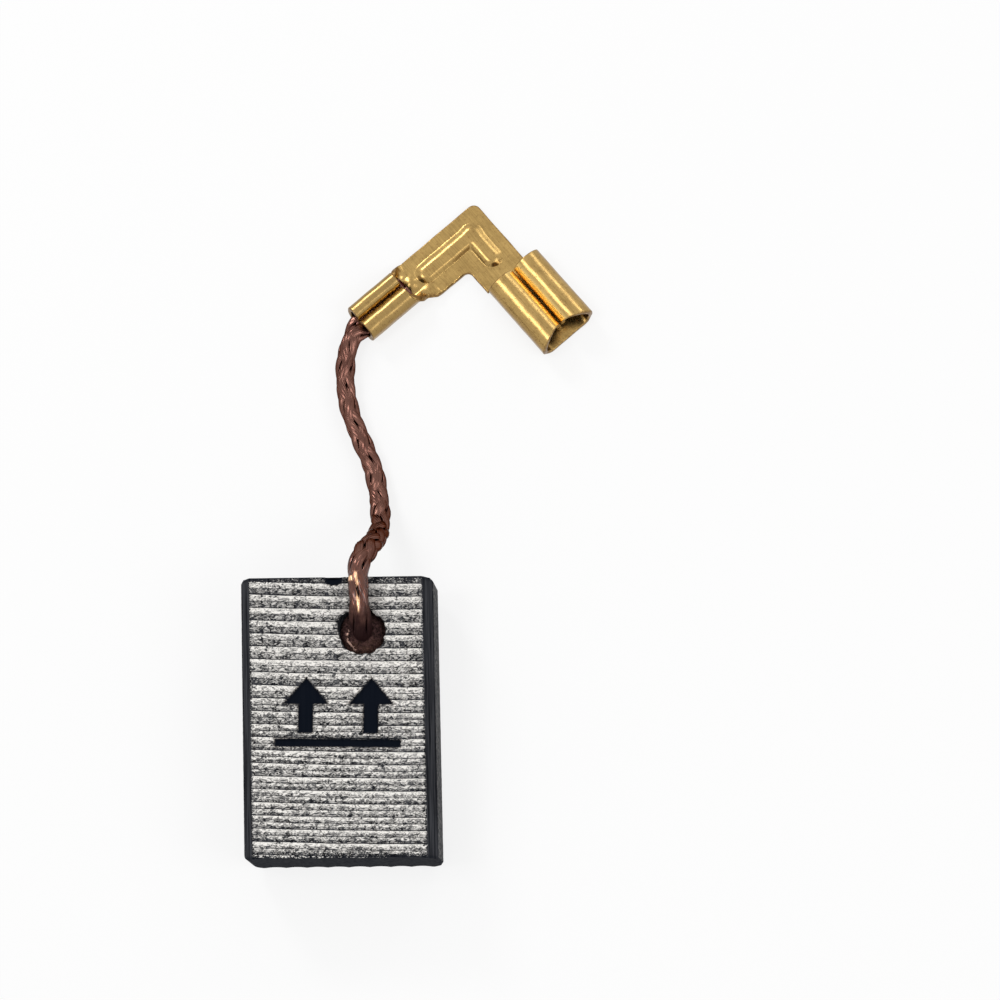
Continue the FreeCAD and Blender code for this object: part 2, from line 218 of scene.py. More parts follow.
def with_bore(points, quads, xs, ys):
    """The window in the front face is laid out again as rings round the bore, which go on down its wall."""
    frame_x, frame_y = window_in(xs, BORE[0]), window_in(ys, BORE[1])
    middles = points[quads].mean(axis=1)
    in_window = (
        (middles[:, 2] > THICKNESS - 1e-6) & (middles[:, 0] > frame_x[0]) & (middles[:, 0] < frame_x[-1])
        & (middles[:, 1] > frame_y[0]) & (middles[:, 1] < frame_y[-1])
    )
    quads = quads[~in_window]
    rim = (
        [(x, frame_y[0]) for x in frame_x[:-1]] + [(frame_x[-1], y) for y in frame_y[:-1]]
        + [(x, frame_y[-1]) for x in frame_x[:0:-1]] + [(frame_x[0], y) for y in frame_y[:0:-1]]
    )
    on_front = np.flatnonzero(points[:, 2] > THICKNESS - 1e-6)
    lookup = {(round(x, 6), round(y, 6)): n for n, (x, y, z) in zip(on_front, points[on_front])}
    ring = np.array([lookup[(round(x, 6), round(y, 6))] for x, y in rim])
    rim = np.array(rim)
    angle = np.arctan2(rim[:, 1] - BORE[1], rim[:, 0] - BORE[0])
    mouth = np.stack([np.cos(angle), np.sin(angle)], axis=1)
    edge = bore_edge(angle)[:, None] * mouth + BORE
    lower = BORE_RADIUS * mouth + BORE
    layers = []
    for step in range(1, BORE_RINGS + 1):
        share = (step / BORE_RINGS) ** 0.8
        layers.append(np.column_stack([rim + (edge - rim) * share, np.full(len(rim), THICKNESS)]))
    for depth, share in (*MOUTH_LAYERS, (THICKNESS - BORE_BOTTOM, 1.0)):
        layers.append(np.column_stack([edge + (lower - edge) * share, np.full(len(rim), THICKNESS - depth)]))
    for layer in layers:
        new = np.arange(len(points), len(points) + len(layer))
        points = np.concatenate([points, layer])
        quads = np.concatenate([quads, np.stack([ring, np.roll(ring, -1), np.roll(new, -1), new], axis=1)])
        ring = new
    return points, quads.tolist() + [ring.tolist()]


def corners_cut(points):
    """Chamfers along the block, the small cuts and the round toe at its corners, and the slope at the top of
    its back face with the rounded shoulder above."""
    for side in (-1, 1):
        for up in (-1, 1):
            foot = (side * (HALF_WIDTH - CHAMFER_ON_FACE), 0, THICKNESS if up > 0 else 0)
            points = press_flat(points, (side * CHAMFER_ON_SIDE, 0, up * CHAMFER_ON_FACE), foot)
    for side, end in ((1, 1), (1, -1), (-1, 1)):
        points = press_flat(points, (side, end, 0), (side * (HALF_WIDTH - HEEL_BREAK), end * HALF_LENGTH, 0))
    points = press_round(points, (TOE_RADIUS - HALF_WIDTH, TOE_RADIUS - HALF_LENGTH), TOE_RADIUS)
    slope_length = LEAD_IN_LENGTH - SHOULDER_DROP
    points = press_flat(points, (0, LEAD_IN_RISE, -slope_length), (0, HALF_LENGTH - LEAD_IN_LENGTH, 0))
    for lean in np.linspace(0.1, 0.9, 7) * math.pi / 2:
        foot = (0, HALF_LENGTH - SHOULDER_DROP * (1 - math.sin(lean)),
                LEAD_IN_RISE + SHOULDER_HEIGHT * (1 - math.cos(lean)))
        normal = (0, math.sin(lean) / SHOULDER_DROP, -math.cos(lean) / SHOULDER_HEIGHT)
        points = press_flat(points, normal, foot)
    return points


def rib_hollow(x, y):
    """How far the grooves between the ribs go in at the running end. They fade out just behind it."""
    radius = (RIB_DEPTH ** 2 + (RIB_PITCH / 2) ** 2) / (2 * RIB_DEPTH)
    reach = RIB_GROOVES * RIB_PITCH / 2
    across = (x + reach) % RIB_PITCH - RIB_PITCH / 2
    hollow = np.sqrt(radius ** 2 - across ** 2) - (radius - RIB_DEPTH)
    return np.where(np.abs(x) < reach, hollow * np.clip(1 - (y + HALF_LENGTH) / RIB_FADE, 0, 1), 0)


def carbon_shape():
    xs = steps(-HALF_WIDTH, HALF_WIDTH, GRID_STEP, (-FACE_HALF_WIDTH, FACE_HALF_WIDTH))
    ys = steps(-HALF_LENGTH, HALF_LENGTH, GRID_STEP)
    zs = steps(0, THICKNESS, GRID_STEP * 1.4, (CHAMFER_ON_SIDE, THICKNESS - CHAMFER_ON_SIDE))
    points, faces = with_bore(*box_skin(xs, ys, zs), xs, ys)

    # The rows, the mark, the crumbled mouth and a chip at the top edge are cut into the front face.
    x, y, z = points.T
    front = z > THICKNESS - 1e-6
    back = z < 1e-6
    from_bore = np.hypot(x - BORE[0], y - BORE[1])
    in_bore = (from_bore < BORE_RADIUS + 0.5) & ~front & ~back
    pressed = 1 - smooth(mark_distance(x, y), -MARK_SLOPE / 2, MARK_SLOPE / 2)
    uneven = wave_noise(points, 0.55, 1)
    coarse = wave_noise(points, 0.16, 2)
    rows = row_height(x + 0.25 * uneven, askew(x, y) + 0.04 * uneven)
    from_mouth = from_bore - bore_edge(np.arctan2(y - BORE[1], x - BORE[0]))
    drop = -ROW_DEPTH * rows * (0.75 + 0.5 * uneven) * (1 - pressed) + MARK_DEPTH * pressed
    drop = drop + 0.1 * np.exp(-np.maximum(from_mouth, 0) / 0.1) * (0.7 + 0.6 * coarse)
    across_chip = np.clip(1 - ((x - CHIP_X) / CHIP_HALF_WIDTH) ** 2, 0, 1)
    chip = across_chip * np.clip(1 - (HALF_LENGTH - y) / (CHIP_REACH + 0.1 * coarse), 0, 1)
    drop = drop + 0.008 * np.abs(coarse) + CHIP_DEPTH * chip
    dark = np.maximum(np.clip(0.5 - mark_distance(x, y) / 0.3, 0, 1), np.minimum(3 * chip, 1))
    z = np.where(front, z - drop, z)
    z = np.where(back, z + 0.010 * np.abs(coarse) + 0.012 * np.abs(uneven), z)
    shaped = corners_cut(np.column_stack([x, y, z]))
    shaped[:, 1] += np.where(in_bore, 0, rib_hollow(shaped[:, 0], shaped[:, 1]))
    shaped[:, 1] = askew(shaped[:, 0], shaped[:, 1])

    # Small unevenness of the pressed skin, inwards only.
    inward = np.sign(np.array([0, 0, THICKNESS / 2]) - shaped)
    worn = (0.006 + 0.006 * coarse[:, None]) * inward
    shaped = shaped + np.where((front | back | in_bore)[:, None], 0, worn)
    return shaped, faces, np.where(front, dark, 0)


def mesh_piece(name, points, faces, material, values=None, smooth_below=None):
    """An object from points in mm. The values are named ones on its points, which the material reads."""
    mesh = bpy.data.meshes.new(name)
    mesh.from_pydata((np.asarray(points) * MM).tolist(), [], faces)
    mesh.validate()
    mesh.materials.append(material)
    piece = bpy.data.objects.new(name, mesh)
    bpy.context.scene.collection.objects.link(piece)
    mesh.shade_smooth()
    if smooth_below:
        mesh.set_sharp_from_angle(angle=math.radians(smooth_below))
    for label, numbers in (values or {}).items():
        layer = mesh.attributes.new(label, "FLOAT", "POINT")
        layer.data.foreach_set("value", np.asarray(numbers, dtype=np.float32))
    return piece


class Shade:
    """A value in a shader that is worked with like a number. Each operation adds one Math node."""

    def __init__(self, socket):
        self.socket = socket
        self.tree = socket.id_data

    def __add__(self, other):
        return calc("ADD", self, other)

    def __sub__(self, other):
        return calc("SUBTRACT", self, other)

    def __rsub__(self, other):
        return calc("SUBTRACT", other, self)

    def __mul__(self, other):
        return calc("MULTIPLY", self, other)

    def __truediv__(self, other):
        return calc("DIVIDE", self, other)

    def __pow__(self, other):
        return calc("POWER", self, other)

    def __abs__(self):
        return calc("ABSOLUTE", self)

    def clamped(self):
        """Held between 0 and 1."""
        return calc("ADD", self, 0.0, clamp=True)


def feed(made, inputs):
    """Each input of a node set to a plain value, or linked to another node's output."""
    for key, value in inputs.items():
        value = value.socket if isinstance(value, Shade) else value
        if isinstance(value, bpy.types.NodeSocket):
            made.id_data.links.new(value, made.inputs[key])
        else:
            made.inputs[key].default_value = value


def node(tree, kind, inputs=None, **settings):
    """One shader node."""
    made = tree.nodes.new("ShaderNode" + kind)
    for name, value in settings.items():
        setattr(made, name, value)
    feed(made, inputs or {})
    return made


def calc(operation, *values, clamp=False):
    """The result of one Math node, with at least one Shade among its values."""
    tree = next(value.tree for value in values if isinstance(value, Shade))
    return Shade(node(tree, "Math", dict(enumerate(values)), operation=operation, use_clamp=clamp).outputs[0])


def rising(value, low, high):
    """0 below low and 1 above high, with a smooth rise."""
    return Shade(node(value.tree, "MapRange", {"Value": value, "From Min": low, "From Max": high},
                      interpolation_type="SMOOTHSTEP").outputs["Result"])


def falling(value, low, high):
    """1 below low and 0 above high, with a smooth fall."""
    return 1 - rising(value, low, high)


def larger(first, second):
    return calc("MAXIMUM", first, second)


def blend_colour(share, first, second):
    mixed = node(share.tree, "Mix", {"Factor": share, 6: first, 7: second}, data_type="RGBA")
    return mixed.outputs[2]


def split(place):
    """X, Y and Z of a place."""
    return [Shade(socket) for socket in node(place.id_data, "SeparateXYZ", {0: place}).outputs]


def cloudy(place, scale, detail, roughness=0.5, distortion=0.0):
    """Smooth noise from 0 to 1."""
    made = node(place.id_data, "TexNoise", {"Vector": place, "Scale": scale, "Detail": detail,
                                            "Roughness": roughness, "Distortion": distortion})
    return Shade(made.outputs["Fac"])


def random_tone(value):
    """A random value from 0 to 1 for each whole number."""
    made = node(value.tree, "TexWhiteNoise", {"W": calc("FLOOR", value)}, noise_dimensions="1D")
    return Shade(made.outputs["Value"])


def bumped(height, strength, distance):
    """The surface's normal with this relief, its distance in mm."""
    inputs = {"Height": height, "Strength": strength, "Distance": distance * MM}
    return node(height.tree, "Bump", inputs).outputs[0]


def painted(place, name):
    """A named value of the mesh's points."""
    return Shade(node(place.id_data, "Attribute", attribute_name=name).outputs["Fac"])


def effect(name, inputs, outputs):
    """A new shader node group with a Position and named values: its tree, its inputs and its output node."""
    tree = bpy.data.node_groups.new(name, "ShaderNodeTree")
    tree.interface.new_socket("Position", in_out="INPUT", socket_type="NodeSocketVector")
    for socket, value in inputs.items():
        made = tree.interface.new_socket(socket, in_out="INPUT", socket_type="NodeSocketFloat")
        made.default_value = value
    for socket in outputs:
        tree.interface.new_socket(socket, in_out="OUTPUT", socket_type="NodeSocketFloat")
    return tree, tree.nodes.new("NodeGroupInput").outputs, tree.nodes.new("NodeGroupOutput")


def use(group, place, inputs):
    """A node group placed in a material: its outputs by name."""
    placed = node(place.id_data, "Group", {"Position": place, **inputs}, node_tree=group)
    return {socket.name: Shade(socket) for socket in placed.outputs}


def grain_effect():
    """Speckle of the given size in mm along X, Y and Z: a value from 0 to 1, and a finer one."""
    sizes = {"Size X": 0.2, "Size Y": 0.1, "Size Z": 0.1}
    tree, given, result = effect("grain", {**sizes, "Contrast": 2.0, "Curl": 0.0}, ("Speckle", "Fine"))
    size = node(tree, "CombineXYZ", {axis: given["Size " + axis] for axis in "XYZ"}).outputs[0]
    scaled = node(tree, "VectorMath", {0: given["Position"], 1: size}, operation="DIVIDE").outputs[0]
    speckle = cloudy(scaled, 1.0, 3.0, 0.65, given["Curl"])
    fine = cloudy(scaled, 2.7, 1.0)
    for name, value in (("Speckle", speckle), ("Fine", fine)):
        feed(result, {name: ((value - 0.5) * given["Contrast"] + 0.5).clamped()})
    return tree


def rows_effect():
    """Rows left by the grinding wheel, across Y: for each row a dark cut, the bright line below it, the rise
    of its facet from dark to bright, and a tone of its own."""
    tree, given, result = effect(
        "ground rows", {"Start": 0.0, "Pitch": 0.7, "Tilt": 0.0, "Bend": 0.0, "Cut": 0.12, "Wander": 0.05},
        ("Cut", "Line", "Facet", "Tone"))
    x, y = split(given["Position"])[:2]
    wander = (cloudy(given["Position"], 0.9, 2.0) - 0.5) * given["Wander"]
    along = (x * (x * given["Bend"] + given["Tilt"]) + y + wander - given["Start"]) / given["Pitch"]
    share = calc("FRACT", along)
    stretched = node(tree, "VectorMath", {0: given["Position"], 1: (0.7, 3.0, 0.7)}, operation="MULTIPLY")
    width = (cloudy(stretched.outputs[0], 1.0, 3.0, 0.7) * 2.4 - 0.35) * given["Cut"]
    feed(result, {
        "Cut": falling(share, 0.0, width), "Line": rising(share, 1 - width * 1.4, 0.97),
        "Facet": rising(share, *FACET_CHANGE), "Tone": random_tone(along),
    })
    return tree


grain = grain_effect()
ground_rows = rows_effect()


def grains(place, size, contrast, curl=0.0):
    """The grain effect with its size along X, Y and Z in mm."""
    sizes = {"Size " + axis: value for axis, value in zip("XYZ", size)}
    return use(grain, place, {**sizes, "Contrast": contrast, "Curl": curl})


def new_material(name):
    """A material with its shader, and the place on the object in mm."""
    material = bpy.data.materials.new(name)
    material.use_nodes = True
    tree = material.node_tree
    here = node(tree, "TexCoord").outputs["Object"]
    place = node(tree, "VectorMath", {0: here, "Scale": 1 / MM}, operation="SCALE").outputs[0]
    return material, tree.nodes["Principled BSDF"], place


def carbon_finish():
    material, shader, place = new_material("ground carbon")
    x, y, z = split(place)
    flecks = grains(place, (0.27, 0.14, 0.2), contrast=5.4, curl=1.5)
    patches = grains(place, (2.2, 0.9, 1.0), contrast=3.0)
    pits = grains(place, (0.34, 0.3, 0.3), contrast=3.0)
    ragged = flecks["Fine"] - 0.5
    off_side = abs(x)
    off_centre = abs(x * END_SKEW + y)

    # Front face: rows with a bright and a dark half near the lead, and finer, flatter ones near the ribs.
    lie = {"Start": ROW_START, "Tilt": ROW_TILT, "Bend": ROW_BEND}
    rows = use(ground_rows, place, {"Pitch": ROW_PITCH, "Cut": 0.13, "Wander": 0.06, **lie})
    finer = use(ground_rows, place, {"Pitch": ROW_PITCH / 2, "Cut": 0.24, "Wander": 0.08, **lie})
    upper = rising(y, -1.5, 2.5)
    level = (rows["Facet"] - 0.5) * (upper * 0.20 + 0.22) + MEAN_LEVEL
    level = level + (finer["Facet"] - 0.5) * (0.34 - upper * 0.24) + (finer["Tone"] - 0.5) * 0.14
    level = level + (patches["Speckle"] - 0.5) * 0.16 + (flecks["Speckle"] - 0.5) * FLECK_SPREAD
    level = level - rows["Cut"] * 0.50 + rows["Line"] * 0.18 - finer["Cut"] * 0.50
    level = (level - rising(pits["Speckle"], 0.80, 0.97) * 0.7).clamped()
    on_face = falling(ragged * 0.12 + off_side, FACE_HALF_WIDTH - 0.06, FACE_HALF_WIDTH + 0.02)
    end_edge = ragged * 0.3 + off_centre + (patches["Fine"] - 0.5) * 0.16
    off_end = falling(end_edge, HALF_LENGTH - 0.24, HALF_LENGTH - 0.16)
    front = rising(z, THICKNESS - 0.10, THICKNESS - 0.05) * on_face * off_end * level ** LEVEL_POWER

    # Back face: finer rows, ground askew. Narrow sides: sparkling specks in a strip between the chamfers,
    # kept dim as painted shade of their grazing light.
    turned = node(shader.id_data, "VectorRotate", {"Vector": place, "Angle": math.radians(38)},
                  rotation_type="Z_AXIS").outputs[0]
    behind_rows = use(ground_rows, turned, {"Pitch": 0.3, "Cut": 0.3, "Wander": 0.2})
    back_level = (flecks["Speckle"] - 0.5) * 0.6 + 0.48 - behind_rows["Cut"] * 0.35
    back = falling(z, 0.03, 0.08) * on_face * back_level.clamped() ** LEVEL_POWER
    sparkle = grains(place, (0.22, 0.22, 0.18), contrast=4.0, curl=0.5)
    half_strip = THICKNESS / 2 - CHAMFER_ON_SIDE
    on_side = falling(abs(z - THICKNESS / 2) + (sparkle["Fine"] - 0.5) * 0.2, half_strip - 0.08, half_strip)
    beside = rising(off_side, HALF_WIDTH - 0.05, HALF_WIDTH - 0.02)
    # The factor 0.36 dims the side's specks: painted shade.
    side = beside * on_side * (sparkle["Speckle"] * 0.36) ** 1.7

    # The pressed mark and the chip stay dark, with a brownish edge where the skin thins out.
    dark = ragged * 0.3 + painted(place, "dark")
    mark = rising(dark, 0.34, 0.58) * 0.97
    halo = rising(dark, 0.08, 0.40) * 0.55
    ground = larger(larger(front * (1 - mark) * (1 - halo), back), side)

    # The dark skin has fine lines along the block.
    lines = grains(place, (0.17, 5.0, 0.17), contrast=4.2)
    skin = blend_colour(lines["Speckle"], *SKIN_COLOURS)
    at_end = rising(off_centre, HALF_LENGTH - 0.25, HALF_LENGTH - 0.08) * 0.5
    skin = blend_colour(larger(mark, at_end), skin, MARK_COLOUR)
    feed(shader, {
        "Base Color": blend_colour(ground, skin, blend_colour(halo, GROUND_COLOUR, HALO_COLOUR)),
        "Metallic": ground * 0.3,
        "Roughness": 0.78 - ground * 0.35,
        "Specular IOR Level": 0.02,
        "Normal": bumped(lines["Speckle"] * 0.12 + ground * 0.9, 0.5, 0.03),
    })
    return material


block_points, block_faces, block_dark = carbon_shape()
block = mesh_piece(
    "ground_block", block_points, block_faces, carbon_finish(), {"dark": block_dark}, smooth_below=28)
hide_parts("carbon_block")
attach(block, "root")


# Tamped powder
# Copper powder packed hard round the lead in the bore. It lies just under the mouth, rises a little at the
# lead, and a lip of it is smeared bright along the lower left.

POWDER_LEVEL = 4.62
POWDER_TOP = 4.95
POWDER_RINGS = 44
POWDER_SPOKES = 216
LEAD_AT_MOUTH = (1.47, 4.98)
LIP_MIDDLE = -2.6
LIP_HALF_ANGLE = 0.85
LIP_RADIUS = 0.95
LIP_SPREAD = 0.22
LIP_WIDTH = 0.1
LIP_HEIGHT = 0.16
DARK_POWDER = ((0.010, 0.004, 0.005, 1), (0.085, 0.042, 0.042, 1))
WARM_POWDER = ((0.08, 0.036, 0.026, 1), (0.24, 0.13, 0.09, 1))
SMEAR_COLOUR = (0.66, 0.42, 0.34, 1)


def powder_shape():
    radii = np.linspace(0, BORE_RADIUS, POWDER_RINGS + 1)[1:]
    turns = np.linspace(-math.pi, math.pi, POWDER_SPOKES, endpoint=False)
    radius, turn = (grid.ravel() for grid in np.meshgrid(radii, turns, indexing="ij"))
    x = BORE[0] + radius * np.cos(turn)
    y = BORE[1] + radius * np.sin(turn)
    flat = np.column_stack([x, y, np.zeros_like(x)])
    lumps = wave_noise(flat, 0.35, 5) + 0.5 * wave_noise(flat, 0.13, 6)
    from_lead = np.hypot(x - LEAD_AT_MOUTH[0], y - LEAD_AT_MOUTH[1])
    collar = 0.14 * bell(from_lead, 0.6, 0.22)
    past_middle = (turn - LIP_MIDDLE + math.pi) % (2 * math.pi) - math.pi
    lip_radius = LIP_RADIUS + LIP_SPREAD * past_middle + 0.03 * np.sin(9 * turn)
    lip = np.clip(1 - (past_middle / LIP_HALF_ANGLE) ** 2, 0, 1) * bell(radius, lip_radius, LIP_WIDTH)
    rim_fall = 0.22 * np.clip((radius - 1.05) / 0.25, 0, 1) * (1 + 0.6 * lumps)
    crumbs = wave_noise(flat, 0.06, 8)
    z = POWDER_LEVEL + 0.1 * lumps + 0.03 * crumbs + collar + LIP_HEIGHT * lip - rim_fall
    z = np.minimum(z, POWDER_TOP)
    points = [(BORE[0], BORE[1], POWDER_LEVEL)] + np.column_stack([x, y, z]).tolist()
    faces = []

    def at(ring, spoke):
        return 1 + ring * POWDER_SPOKES + spoke % POWDER_SPOKES

    for spoke in range(POWDER_SPOKES):
        faces.append((0, at(0, spoke), at(0, spoke + 1)))
        for ring in range(POWDER_RINGS - 1):
            corners = (ring, spoke), (ring + 1, spoke), (ring + 1, spoke + 1), (ring, spoke + 1)
            faces.append(tuple(at(*corner) for corner in corners))
    rim = [at(POWDER_RINGS - 1, spoke) for spoke in range(POWDER_SPOKES)]
    foot = [len(points) + spoke for spoke in range(POWDER_SPOKES)]
    points += [(points[n][0], points[n][1], BORE_BOTTOM) for n in rim]
    for spoke in range(POWDER_SPOKES):
        beyond = (spoke + 1) % POWDER_SPOKES
        faces.append((rim[spoke], foot[spoke], foot[beyond], rim[beyond]))
    faces.append(foot[::-1])
    smear = np.concatenate([[0], lip, np.zeros(POWDER_SPOKES)])
    return points, faces, smear


def powder_finish():
    material, shader, place = new_material("tamped copper powder")
    y = split(place)[1]
    specks = grains(place, (0.15, 0.15, 0.15), contrast=4.6)
    clumps = grains(place, (0.5, 0.5, 0.5), contrast=2.4)
    low = falling(y, BORE[1] - 1.25, BORE[1] - 0.2)
    dark = blend_colour(specks["Speckle"], *DARK_POWDER)
    warm = blend_colour(specks["Fine"], *WARM_POWDER)
    body = blend_colour(clumps["Speckle"] * (low * 0.65 + 0.2), dark, warm)
    smear = rising((specks["Speckle"] - 0.5) * 0.9 + painted(place, "smear"), 0.45, 0.9)
    feed(shader, {
        "Base Color": blend_colour(smear, body, SMEAR_COLOUR),
        "Metallic": smear * 0.75 + 0.15,
        "Roughness": 0.75 - smear * 0.4,
        "Specular IOR Level": 0.08,
        "Normal": bumped(specks["Speckle"], 1.0, 0.05),
    })
    return material


powder_points, powder_faces, powder_smear = powder_shape()
powder = mesh_piece("packed_powder", powder_points, powder_faces, powder_finish(), {"smear": powder_smear})
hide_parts("tamped_powder")
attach(powder, "root")


# Shunt braid
# The flexible lead, eight flat bundles of fine copper wires braided over and under round a core. It is held
# in the powder at one end and crushed flat in the terminal's crimp at the other.

LEAD_POINTS = [
    (1.48, 4.50, 1.15), (1.48, 4.53, 2.55), (1.48, 4.64, 3.85), (1.47, 4.96, 5.10), (1.45, 5.74, 5.86),
    (1.40, 7.20, 5.96), (1.41, 8.62, 5.80), (1.82, 9.62, 4.85), (2.20, 10.32, 3.55), (2.31, 11.05, 2.20),
    (2.30, 12.05, 1.15), (2.18, 13.35, 0.66), (1.98, 14.75, 0.62), (1.48, 16.15, 0.61), (0.86, 17.60, 0.61),
    (0.42, 19.05, 0.61), (0.30, 20.55, 0.61), (0.40, 21.95, 0.63), (0.84, 23.12, 0.70), (1.72, 24.00, 0.70),
    (2.80, 24.86, 0.66), (4.02, 25.85, 0.66),
]
STATION_STEP = 0.15
BUNDLES_EACH_WAY = 4
BUNDLE_HALF_WIDTH = 0.285
BUNDLE_HALF_THICKNESS = 0.105
BUNDLE_POINTS_ABOVE = 25
BUNDLE_POINTS_BELOW = 5
RIDGES = 6
RIDGE_HEIGHT = 0.022
WIRES = 13
WIRE_DRIFT = 0.22
BRAID_RADIUS = 0.42
BRAID_LIFT = 0.055
CORE_RADIUS = 0.33
CORE_SIDES = 16
CRUSH_WIDTH = 1.42
CRUSH_HEIGHT = 0.54
CRUSH_FROM_END = (4.6, 3.3)
LOOSE_END = 0.35
WIRE_COLOURS = ((0.070, 0.028, 0.022, 1), (0.235, 0.118, 0.090, 1))
RED_WIRE_COLOURS = ((0.030, 0.007, 0.004, 1), (0.165, 0.044, 0.018, 1))
# Painted shade in the gaps between bundles and wires.
GAP_SHADE_COLOUR = (0.026, 0.004, 0.004, 1)
# Powder on the wires, darkened further with painted shade of the bore.
POWDER_AND_SHADE_COLOUR = (0.016, 0.006, 0.007, 1)
# A painted highlight on the wires over the block's edge.
PAINTED_HIGHLIGHT_COLOUR = (1.0, 0.60, 0.34, 1)
PAINTED_HIGHLIGHT_PATCH = (0.99, 7.68)


def lead_curve():
    """The lead's line as one NURBS spline."""
    curve = bpy.data.curves.new("lead line", "CURVE")
    curve.dimensions = "3D"
    curve.resolution_u = 24
    spline = curve.splines.new("NURBS")
    spline.points.add(len(LEAD_POINTS) - 1)
    for point, (x, y, z) in zip(spline.points, LEAD_POINTS):
        point.co = (x * MM, y * MM, z * MM, 1)
    spline.order_u = 3
    spline.use_endpoint_u = True
    return bpy.data.objects.new("lead line", curve)


def even_stations(line, step):
    """Points a step apart along a line, and how far along it they lie."""
    lengths = np.concatenate([[0], np.cumsum(np.linalg.norm(np.diff(line, axis=0), axis=1))])
    along = np.linspace(0, lengths[-1], int(round(lengths[-1] / step)) + 1)
    return np.column_stack([np.interp(along, lengths, line[:, axis]) for axis in range(3)]), along


def unit(vectors):
    return vectors / np.linalg.norm(vectors, axis=-1, keepdims=True)


def carried_frames(line):
    """At each station the line's direction and two directions across it, carried along without twist."""
    ahead = unit(np.gradient(line, axis=0))
    across = [np.array([1.0, 0.0, 0.0])]
    for direction in ahead:
        across.append(unit(across[-1] - (across[-1] @ direction) * direction))
    across = np.array(across[1:])
    return ahead, across, np.cross(ahead, across)


def loop_faces(stations, sides):
    """Quads of a closed tube laid out station by station, and its two end faces."""
    start = np.arange(stations - 1)[:, None] * sides
    side = np.arange(sides)[None]
    beyond = (side + 1) % sides
    quads = np.stack([start + side, start + beyond, start + sides + beyond, start + sides + side], axis=-1)
    ends = [list(range(sides))[::-1], list(range((stations - 1) * sides, stations * sides))]
    return quads.reshape(-1, 4), ends


def bundle_section():
    """A flat bundle's section, all round: places across it, heights, and which of them are on top."""
    above = np.linspace(1, -1, BUNDLE_POINTS_ABOVE)
    below = np.linspace(-1, 1, BUNDLE_POINTS_BELOW + 2)[1:-1]
    share = np.concatenate([above, below])
    top = np.arange(len(share)) < BUNDLE_POINTS_ABOVE
    return share, np.where(top, 1, -0.7) * (1 - share ** 2) ** 0.62, top


